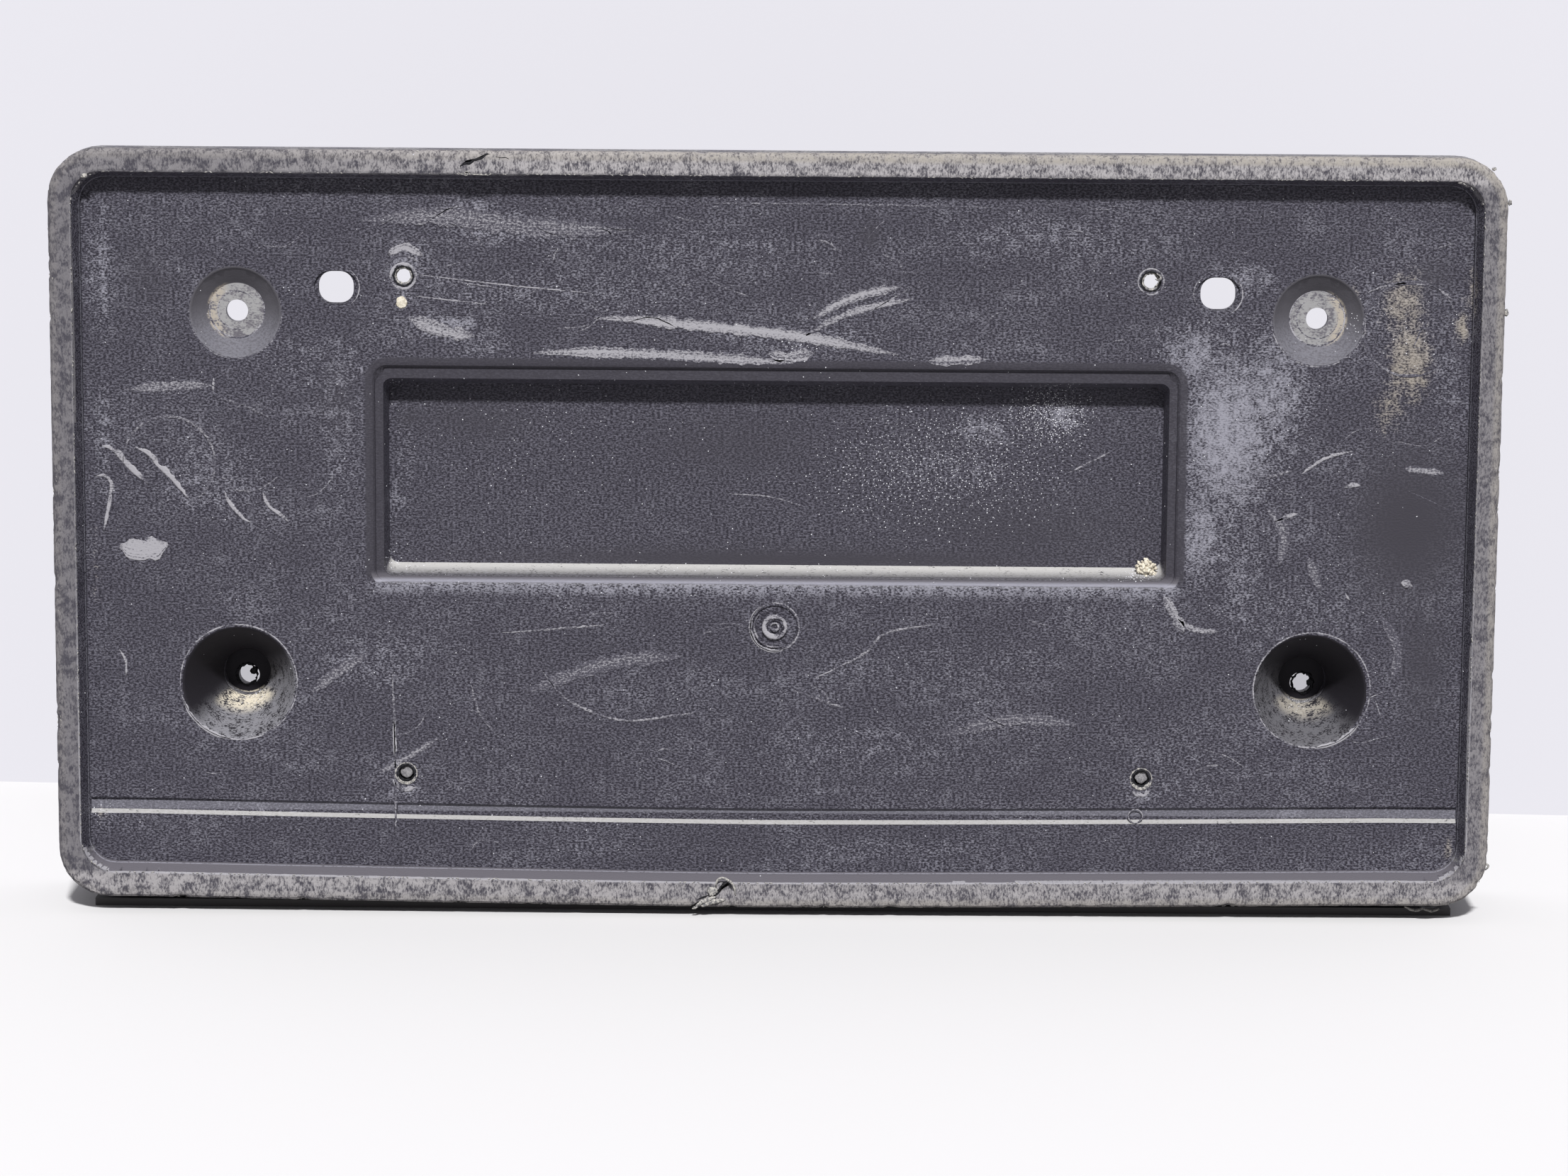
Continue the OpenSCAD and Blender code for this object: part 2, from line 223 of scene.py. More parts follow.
def isPan(face):
    middle = middleOf(face)
    inside = outlineDistance(middle.x, middle.z, "pocket") < mouldingSetup["rimFrom"]
    return inside and (face.normal.y < -0.02 or middle.y < mouldingSetup["panBack"])


def squareUp(vert, s):  # the slots are nearer to rounded rectangles than the CAD's
    x, y, z = vert.co / mm
    across, along = abs(x) - s["across"], z - s["up"]
    if abs(math.hypot(max(abs(across) - s["straight"], 0), along) - s["round"]) > 0.1:
        return
    low, high = 0.9, 1.3
    for turn in range(20):
        grow = (low + high) / 2
        halves = ((across, s["halfWide"]), (along, s["round"]))
        beyond = [abs(reach) * grow - half + s["corner"] for reach, half in halves]
        gap = math.hypot(max(beyond[0], 0), max(beyond[1], 0)) + min(max(beyond), 0) - s["corner"]
        low, high = (grow, high) if gap < 0 else (low, grow)
    side = math.copysign(1, x)
    vert.co = Vector((side * (s["across"] + across * grow), y, s["up"] + along * grow)) * mm


def isCone(face):
    middle = middleOf(face)
    return middle.y > 0.02 and any(
        math.dist((abs(middle.x), middle.z), (cone["across"], cone["up"])) < cone["mouth"]
        for cone in (lowerCone, upperCone)
    )


def isWithin(place, zone):
    (halfWide, front, low), (_, back, high) = zone
    return abs(place.x) < halfWide and front < place.y < back and low < place.z < high


def reshape(vert, s):  # the recess's upper ledge is wider and the groove shallower than the CAD's
    place = vert.co / mm
    if isWithin(place, s["ledge"]):
        vert.co.z -= s["ledgeDrop"] * smooth(place.z, 31, 37.6) * mm
    if isWithin(place, s["groove"]):
        vert.co.y *= s["grooveShare"]


def roughen(vert, s):
    squareUp(vert, slotShape)
    reshape(vert, s)
    place = vert.co / mm
    x, z = place.x, place.z
    if onRim(place, s["rimBack"] - 0.1):
        rough = noise.noise_vector(place / s["roughGrain"])
        out = smooth(outlineDistance(x, z, "outer"), -2.2, -0.2)
        nick = max(noise.noise(Vector((x, 40, z)) / s["nickGrain"]) - s["nickFrom"], 0) * s["nickDepth"]
        lift = s["roughHeight"] * (rough.y + 0.5 * noise.noise(place / s["coarseGrain"]))
        inward = Vector((-x / 172, 0, -z / 90)).normalized()
        shift = Vector((rough.x * s["roughSide"], lift, rough.z * s["roughSide"]))
        vert.co += (shift + inward * out * nick) * mm
    vert.co.z -= sagAt(x, z) * mm


def markAt(x, z, marks):
    best = 0
    for across, up, reachAcross, reachUp, strength in marks:
        if abs(x - across) < reachAcross and abs(z - up) < reachUp:
            away = math.hypot((x - across) / reachAcross, (z - up) / reachUp)
            best = max(best, strength * smooth(away, 1, 0.1))
    return best


def paintPan(mesh, w):
    layer = mesh.attributes.new("wear", "FLOAT_COLOR", "POINT")
    for index, vert in enumerate(mesh.vertices):
        x, y, z = vert.co / mm
        haze, tan, dark = (markAt(x, z, w[name]) for name in ("haze", "tan", "smoothDark"))
        cloud = 0.5 + 0.5 * noise.noise(Vector((x / 34, y / 20, z / 11)))
        cloud += 0.45 * noise.noise(Vector((x / 11, y / 9, z / 5)))
        cloud += 0.3 * noise.noise(Vector((x / 4, y, z / 3)))
        layer.data[index].color = (haze, tan, dark, min(max(cloud, 0), 1))


def makeMoulding(s):
    noise.seed_set(s["seed"])
    mesh = node.data.copy()
    mesh.name = "moulding"
    piece = addObject("moulding", mesh)
    bm = bmesh.new()
    bm.from_mesh(mesh)
    bmesh.ops.remove_doubles(bm, verts=bm.verts, dist=2e-6)
    cutFaces(bm, bm.faces[:], 1, [s["rimBack"]])
    cutFaces(bm, bm.faces[:], 0, span(-172, 172, 12))
    cutFaces(bm, bm.faces[:], 2, s["bowCuts"])
    cutFaces(bm, [f for f in bm.faces if isPan(f)], 0, span(-165, 165, s["panCut"]))
    cutFaces(bm, [f for f in bm.faces if isPan(f)], 2, span(-82, 84, s["panCut"]))
    halfWide, halfHigh, up, corner = outlines["pocket"]
    for axis, middle, half, reach in ((2, up, halfHigh, 172), (0, 0, halfWide, 90)):
        lands = [middle + side * (half + out) for side in (-1, 1) for out in s["landCuts"]]
        for cutAxis, cuts in ((2 - axis, span(-reach, reach, s["rimCut"])), (axis, lands)):
            faces = [f for f in bm.faces if isRim(f) and abs(middleOf(f)[axis] - middle) > half - corner]
            cutFaces(bm, faces, cutAxis, cuts)
    limit = math.radians(s["sharpAngle"])
    for face in bm.faces:
        face.smooth = True
        face.material_index = 1 if isRim(face) else 2 if not isPan(face) else 3 if isCone(face) else 0
    for edge in bm.edges:
        edge.smooth = edge.calc_face_angle(0) < limit
    for vert in bm.verts:
        roughen(vert, s)
    bmesh.ops.triangulate(bm, faces=[f for f in bm.faces if len(f.verts) > 4])
    bm.to_mesh(mesh)
    bm.free()
    paintPan(mesh, panWear)
    print("moulding faces", len(mesh.polygons))
    return piece


moulding = makeMoulding(mouldingSetup)
print("moulding made")


# A node's output, so that sums and products of masks read as such
class Wire:
    def __init__(self, bench, socket):
        self.bench, self.socket = bench, socket

    def __add__(self, other):
        return self.bench.math("ADD", self, other)

    def __sub__(self, other):
        return self.bench.math("SUBTRACT", self, other)

    def __rsub__(self, other):
        return self.bench.math("SUBTRACT", other, self)

    def __mul__(self, other):
        return self.bench.math("MULTIPLY", self, other)

    def __abs__(self):
        return self.bench.math("ABSOLUTE", self)


# Short way to lay out shader and geometry nodes
class Bench:
    def __init__(self, tree):
        self.tree = tree

    def feed(self, socket, value):
        value = getattr(value, "socket", value)
        if isinstance(value, bpy.types.NodeSocket):
            self.tree.links.new(value, socket)
        else:
            socket.default_value = value

    def add(self, kind, values=None, **settings):
        made = self.tree.nodes.new(kind)
        for name, value in settings.items():
            setattr(made, name, value)
        for key, value in (values or {}).items():
            self.feed(made.inputs[key], value)
        return made

    def read(self, output, kind, values=None, **settings):
        return Wire(self, self.add(kind, values, **settings).outputs[output])

    def math(self, operation, first, second=0):
        return self.read(0, "ShaderNodeMath", {0: first, 1: second}, operation=operation)

    def vector(self, operation, first, second=(0, 0, 0)):
        output = "Value" if operation == "LENGTH" else "Vector"
        return self.read(output, "ShaderNodeVectorMath", {0: first, 1: second}, operation=operation)

    def inMillimetres(self, place):
        return self.read(0, "ShaderNodeVectorMath", {0: place, "Scale": 1 / mm}, operation="SCALE")

    def split(self, vector):
        return [Wire(self, part) for part in self.add("ShaderNodeSeparateXYZ", {0: vector}).outputs]

    def join(self, x, y):
        return self.read(0, "ShaderNodeCombineXYZ", {0: x, 1: y})

    def fade(self, value, start, end, low=0, high=1):
        values = {0: value, 1: start, 2: end, 3: low, 4: high}
        return self.read(0, "ShaderNodeMapRange", values, interpolation_type="SMOOTHSTEP")

    def speckle(self, place, size, detail, roughness=0.55):
        values = {"Vector": place, "Scale": 1 / size, "Detail": detail, "Roughness": roughness}
        return self.read("Fac", "ShaderNodeTexNoise", values)

    def tint(self, factor, first, second):
        return self.read(2, "ShaderNodeMix", {0: factor, 6: first, 7: second}, data_type="RGBA")

    def cover(self, factor, colour):
        self.colour = self.tint(factor, self.colour, colour)

    def most(self, total, *masks):
        for mask in masks:
            total = self.math("MAXIMUM", total, mask)
        return total


def newMaterial(name):
    material = bpy.data.materials.new(name)
    material.use_nodes = True
    return material, material.node_tree.nodes


def paint(*levels):  # a colour by its levels on screen, 0 to 255
    return tuple(((v / 255 + 0.055) / 1.055) ** 2.4 for v in levels) + (1,)


# Finishes of the black plastic, as levels on screen
plasticLook = {
    "deep": paint(43, 41, 49),
    "grain": paint(102, 100, 111),
    "grainSize": 0.4,  # mm
    # smoother, darker plastic, also used for painted shade on the recess's outer rounding
    "smoothDark": paint(64, 62, 69),
    "coneDark": paint(38, 36, 41),
    "coneGrey": paint(136, 135, 141),
    "seatGrey": paint(158, 157, 158),
    "dishDark": paint(92, 90, 96),
    "dishLow": paint(118, 117, 125),
    "wallGrey": paint(106, 103, 110),
    # haze, and also the colour of painted light and highlights on the pan's groove, ledge edge and the
    # recess's lower edge
    "haze": paint(160, 159, 170),
    # scuffs, and also painted highlight on the pocket's lip and the cones' lips
    "scuffAndSheen": paint(168, 166, 172),
    "rimDark": paint(76, 74, 82),
    "rimLight": paint(178, 174, 176),
    "rimTanAndSheen": paint(165, 159, 152),
    "rimTurn": 18,  # degrees from upright of the rim's short scuffs
    "dust": paint(206, 204, 202),
    "tan": paint(178, 169, 157),
    "cream": paint(226, 216, 196),
    "specular": 0.14,
}

# Heights on the pan where a finish starts and where it is full, in mm
panBands = {
    "wall": (-79, -79.8),
    "grooveSlope": (-68.5, -69),
    "grooveTop": (-67.3, -67.7),
    "grooveFoot": (-69.8, -69.4),
    "recessSides": (-14.4, -11),
    "recessLow": (-10.4, -12.6),
    "ledgeDustAndSheen": (-12.2, -13.2),
    "ledgeFoot": (-13.6, -13.2),
    "belowRecess": (-18, -14.6),
}


def surfaceBench(name):
    material, nodes = newMaterial(name)
    b = Bench(material.node_tree)
    b.material, b.shader = material, nodes["Principled BSDF"].inputs
    b.shader["Specular IOR Level"].default_value = plasticLook["specular"]
    b.place = b.inMillimetres(b.read("Object", "ShaderNodeTexCoord"))
    b.x, b.y, b.z = b.split(b.place)
    b.upward = b.split(b.read("Normal", "ShaderNodeNewGeometry"))[2]
    return b


def finish(b, roughness, height):
    b.feed(b.shader["Base Color"], b.colour)
    b.feed(b.shader["Roughness"], roughness)
    bump = b.read("Normal", "ShaderNodeBump", {"Height": height, "Distance": mm, "Strength": 1.0})
    b.feed(b.shader["Normal"], bump)
    return b.material


def level(b):  # height with the bow taken out, so marks follow the bowed edge
    share = b.math("DIVIDE", abs(b.x - sag["across"]), sag["reach"])
    bow = 1.0 - b.math("POWER", b.math("MINIMUM", share, 1), sag["power"])
    return b.z + bow * b.fade(b.z, sag["noneAbove"], sag["fullBelow"]) * sag["drop"]


def gapTo(b, name, height):  # as outlineDistance
    halfWide, halfHigh, up, corner = outlines[name]
    across = abs(b.x) - halfWide + corner
    along = abs(height - up) - halfHigh + corner
    beyond = b.vector("LENGTH", b.join(b.most(across, 0), b.most(along, 0)))
    return beyond + b.math("MINIMUM", b.most(across, along), 0) - corner


def moulded(b, look):  # bare plastic: leather grain, with its height
    flat = b.vector("MULTIPLY", b.place, (0.6, 1, 1))
    fine = b.speckle(flat, look["grainSize"], 1, 0.7)
    b.colour = b.tint(b.fade(fine, 0.34, 0.74), look["deep"], look["grain"])
    return b.speckle(flat, look["grainSize"], 0) * 0.06, fine


def coneDistance(b, cone):  # from the axis of the nearer of two mirrored cones, with the offsets
    across, along = abs(b.x) - cone["across"], b.z - cone["up"]
    return b.vector("LENGTH", b.join(across, along)), across, along


# Upper cones: smooth and dark at the top, dusty below, with a scuffed seat that is tan on its outer side
def paintUpperCones(b, look, fine, patch):
    away, across, along = coneDistance(b, upperCone)
    mouth, seat = upperCone["mouth"], upperCone["seat"]
    low = b.fade(along, 2.5, -6.5) * b.fade(fine, 0.3, 0.62, 0.25)
    b.cover(b.fade(away, mouth + 0.1, mouth - 0.2), b.tint(low, look["dishDark"], look["dishLow"]))
    worn = b.fade(fine + patch, 0.75, 1.15)
    b.cover(b.fade(away, seat, seat - 0.3), b.tint(worn, look["wallGrey"], look["seatGrey"]))
    stained = b.fade(across, 1.5, 4.5) * b.fade(away, 4.2, 5.4) * b.fade(away, 7.4, 6.8)
    b.cover(stained * b.fade(fine + patch, 0.8, 1.1), look["tan"])


# Lower cones: black, with fine grey dust low on the inner side and cream dirt under the bore
def paintLowerCones(b, look, fine, patch):
    away, across, along = coneDistance(b, lowerCone)
    mouth, seat = lowerCone["mouth"], lowerCone["seat"]
    lean = across * -0.55 + along * -0.85
    grey = b.fade(lean, -1.5, 5.5) * b.fade(fine + patch * 0.6, 0.58, 0.86) * b.fade(b.x, 1, -1, 0.55)
    under = b.fade(along, -3.2, -5.5) * b.fade(away, seat + 4, seat + 1.6)
    cream = under * b.fade(fine + patch * 0.8, 0.72, 0.98) * b.fade(lean, 0.5, 3)
    inside = b.tint(grey, look["coneDark"], look["coneGrey"])
    inside = b.tint(cream * b.fade(b.x, 1, -1, 0.4), inside, look["cream"])
    inside = b.tint(b.fade(away, seat, seat - 0.3), inside, look["coneDark"])
    b.cover(b.fade(away, mouth + 0.1, mouth - 0.2), inside)


def makeConeFinish(look):
    b = surfaceBench("dustyBlackCones")
    height, fine = moulded(b, look)
    patch = b.speckle(b.place, 2.4, 1, 0.62)
    paintUpperCones(b, look, fine, patch)
    paintLowerCones(b, look, fine, patch)
    return finish(b, 0.6, height * 0.5)


def makePanFinish(look):
    b = surfaceBench("scuffedBlackPlastic")
    wear = b.add("ShaderNodeAttribute", attribute_name="wear").outputs
    masks = b.add("ShaderNodeSeparateColor", {0: wear["Color"]}).outputs
    hazy, tanned, smoothed, cloud = (Wire(b, mask) for mask in (*masks, wear["Alpha"]))
    at = {name: b.fade(b.z, *band) for name, band in panBands.items()}
    height, fine = moulded(b, look)
    both = fine + b.speckle(b.place, 2.4, 1, 0.62) * 0.6
    recessGap = gapTo(b, "recess", b.z)
    inRecess = b.fade(recessGap, 0.3, 0)
    lift = b.fade(cloud, 0.15, 1) * b.fade(both, 0.7, 1.15) * b.fade(inRecess, 0, 1, 0.5, 0.15)
    b.cover(lift, look["haze"])
    b.cover(smoothed, look["smoothDark"])
    haze = b.fade(both + hazy * 0.5, 0.9, 1.45, 0, 0.85) * b.fade(hazy, 0.02, 0.3)
    b.cover(haze, look["haze"])
    stain = b.fade(both + tanned * 0.5, 0.98, 1.42) * b.fade(tanned, 0.02, 0.25) * 0.68
    b.cover(stain, look["tan"])
    upward = b.fade(b.upward, 0.25, 0.7)
    b.cover(upward * at["wall"], look["wallGrey"])
    # Dust settled on upward faces, more of it deeper in the recess; on the groove's lower slope a nearly
    # even light band that is dust and painted highlight
    settledDustAndSheen = b.fade(both + b.fade(at["grooveSlope"], 0, 1, 0.2, 0.24), 0.6, 0.9)
    settledDustAndSheen = settledDustAndSheen * b.most(at["grooveSlope"] * 0.62, b.fade(b.y, 1.2, 7.2, 0.1, 0.9))
    dusty = upward * settledDustAndSheen * (1.0 - at["wall"])
    b.cover(dusty, look["dust"])
    # Painted light: the groove's floor is lightened where the shadow of its upper edge falls
    b.cover(at["grooveTop"] * at["grooveFoot"] * b.fade(b.y, 0.3, 0.5) * 0.3, look["haze"])
    # Painted highlight: a thin light line along the edge of the pocket's ledge, 1.6 mm in front of the pan
    line = b.fade(abs(b.y + 1.6), 0.4, 0.15)
    b.cover(line * b.fade(fine, 0.3, 0.5) * 0.75, look["haze"])
    # Painted shade and a smoother finish on the recess's outer rounding along its top and sides, darker
    # where the rounding turns away from the light
    recessEdgeShadeAndSmooth = b.fade(recessGap, 1.7, 0.9) * b.fade(b.y, 1.6, 1.4) * at["recessSides"]
    b.cover(recessEdgeShadeAndSmooth * 0.85, look["smoothDark"])
    # Dust and painted highlight on the recess's lower ledge: grey, turning to haze at the rounding below it,
    # which faces up into the light
    low = inRecess * at["recessLow"] * at["ledgeFoot"]
    b.cover(low * b.fade(b.y, 1.35, 1.2), b.tint(at["ledgeDustAndSheen"], look["wallGrey"], look["haze"]))
    b.cover(low * b.fade(abs(b.y - 2.3), 0.6, 0.2) * 0.6, look["smoothDark"])
    # Dust and painted highlight on the rounding and the plate face just below the recess
    recessFootDustAndSheen = at["belowRecess"] * (1.0 - at["ledgeFoot"]) * b.fade(recessGap, 3.5, 0.5)
    b.cover(recessFootDustAndSheen * b.fade(both, 0.62, 0.95) * 0.6, look["haze"])
    return finish(b, b.most(haze, dusty, stain) * 0.35 + 0.5, height)


def makeRimFinish(look):
    b = surfaceBench("scuffedRim")
    height = level(b)
    outside, outerGap = gapTo(b, "pocket", height), gapTo(b, "outer", height)
    turned = b.read(0, "ShaderNodeMapping", {
        "Vector": b.place, "Rotation": (0, math.radians(look["rimTurn"]), 0), "Scale": (1, 1, 0.45),
    })
    mottle = b.speckle(turned, 0.5, 2, 0.75)
    patchy = b.speckle(b.place, 2.8, 2, 0.6)
    light = b.fade(mottle + (patchy - 0.5) * b.fade(b.x, -140, 20, 1.05, 0.6), 0.3, 0.66)
    top = b.fade(height, 82, 85) * b.fade(b.x, -150, -40, 0.42)
    bottom = b.fade(height, -82, -85, 0, 0.84)
    left, right = b.fade(b.x, -168, -160, 0.32, 0.45), b.fade(b.x, 160, 164, 0, 0.34)
    worn = light * b.most(top, bottom, right, left) * b.fade(b.y, -3, -4.2, 0.25)
    b.colour = b.tint(worn, look["rimDark"], look["rimLight"])
    # Tan wear and painted highlight on the rim's outer rounding: lighter towards the top, where the rounding
    # catches the light
    edge = b.fade(outerGap, -2.8, -1.4) * b.fade(height, 70, 88, 0.5, 0.95) * b.fade(b.y, -3.2, -4.8)
    edge = edge * b.fade(b.x, -130, 30, 0.25) * b.fade(patchy, 0.3, 0.6, 0.35)
    b.cover(edge * b.fade(mottle, 0.3, 0.5, 0.3), look["rimTanAndSheen"])
    # Scuffs and painted highlight along the pocket's lip: a light band, stronger towards the bottom where
    # the lip faces the light
    lipScuffAndSheen = b.fade(outside, 1.9, 1.6) * b.fade(outside, 1.1, 1.25) * b.fade(mottle, 0.3, 0.45, 0.5)
    b.cover(lipScuffAndSheen * b.fade(height, 20, -60, 0.3, 0.9), look["scuffAndSheen"])
    return finish(b, 0.72, mottle * 0.2)


def makeBackFinish(look):
    b = surfaceBench("plainBlackPlastic")
    height, fine = moulded(b, look)
    cloud = b.speckle(b.place, 11, 3, 0.65)
    b.cover(b.fade(cloud, 0.4, 0.75) * b.fade(fine, 0.35, 0.65) * 0.22, look["haze"])
    dusty = b.fade(b.upward, 0.3, 0.9) * b.fade(cloud, 0.35, 0.6) * b.fade(fine, 0.3, 0.6) * 0.45
    b.cover(dusty, look["dust"])
    return finish(b, dusty * 0.6 + 0.42, height)


# The finishes stand in the order of the faces' numbers, which clearing the materials would reset
numbers = [polygon.material_index for polygon in moulding.data.polygons]
moulding.data.materials.clear()
for makeFinish in (makePanFinish, makeRimFinish, makeBackFinish, makeConeFinish):
    moulding.data.materials.append(makeFinish(plasticLook))
moulding.data.polygons.foreach_set("material_index", numbers)
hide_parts("plate_holder")
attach(moulding, "root")
print("moulding finished")


# Small torn and worn pieces are swept strips and lumps, in mm
def smoothLine(points, step, closed=False):
    points = [Vector(p) for p in points]
    if closed:
        guide = points[-1:] + points + points[:2]
    else:
        guide = [points[0] * 2 - points[1]] + points + [points[-1] * 2 - points[-2]]
    line = []
    for a, b, c, d in zip(guide, guide[1:], guide[2:], guide[3:]):
        steps = max(2, int((c - b).length / step))
        for t in (k / steps for k in range(steps)):
            cubic = (b * 3 - a - c * 3 + d) * t ** 3
            line.append((b * 2 + (c - a) * t + (a * 2 - b * 5 + c * 4 - d) * t ** 2 + cubic) / 2)
    return line if closed else line + points[-1:]


def joinRows(bm, rows, closed):
    size = len(rows[0])
    pairs = list(zip(rows, rows[1:])) + ([(rows[-1], rows[0])] if closed else [])
    for first, second in pairs:
        for k in range(size):
            bm.faces.new((first[k], first[(k + 1) % size], second[(k + 1) % size], second[k]))
    if not closed:
        bm.faces.new(rows[0])
        bm.faces.new(reversed(rows[-1]))


def heading(line, i, closed):
    ahead = line[(i + 1) % len(line)] if closed or i + 1 < len(line) else line[i]
    return ahead - (line[i - 1] if closed or i else line[i])


def sweep(bm, points, width, thick, rough, seed, closed=False, step=0.35, sides=7):
    line = smoothLine(points, step, closed)
    rows = []
    for i, centre in enumerate(line):
        along = heading(line, i, closed).normalized()
        side = along.cross(Vector((0, -1, 0)))
        side = side.normalized() if side.length > 0.05 else Vector((1, 0, 0))
        up = side.cross(along).normalized()
        share = i / max(len(line) - 1, 1)
        taper = 1 if closed else 0.25 + 0.75 * math.sin(math.pi * min(max(share, 0.02), 0.98)) ** 0.5
        row = []
        for k in range(sides):
            angle = 2 * math.pi * k / sides
            rim = side * math.cos(angle) * width / 2 + up * math.sin(angle) * thick / 2
            bumpy = 1 + rough * noise.noise((centre + rim) * 1.7 + Vector((seed * 7.3, 0, 0))) * 2
            row.append(bm.verts.new((centre + rim * taper * bumpy) * mm))
        rows.append(row)
    joinRows(bm, rows, closed)


def lump(bm, centre, reach, rough, seed, turn=0.0, fine=3):
    made = bmesh.ops.create_icosphere(bm, subdivisions=fine, radius=1)
    spin = Matrix.Rotation(math.radians(turn), 3, "Y")
    for vert in made["verts"]:
        out = 1 + rough * noise.noise(vert.co * 1.8 + Vector((seed * 5.1, 0, 0)))
        out += rough * 0.4 * noise.noise(vert.co * 5 + Vector((0, seed * 3.7, 0)))
        place = vert.co * Vector(reach) * out
        vert.co = (spin @ place + Vector(centre)) * mm


def finishPiece(bm, name, material):
    bmesh.ops.recalc_face_normals(bm, faces=bm.faces)
    for face in bm.faces:
        face.smooth = True
    mesh = takeMesh(bm, name)
    mesh.materials.append(material)
    addPiece(name, mesh)
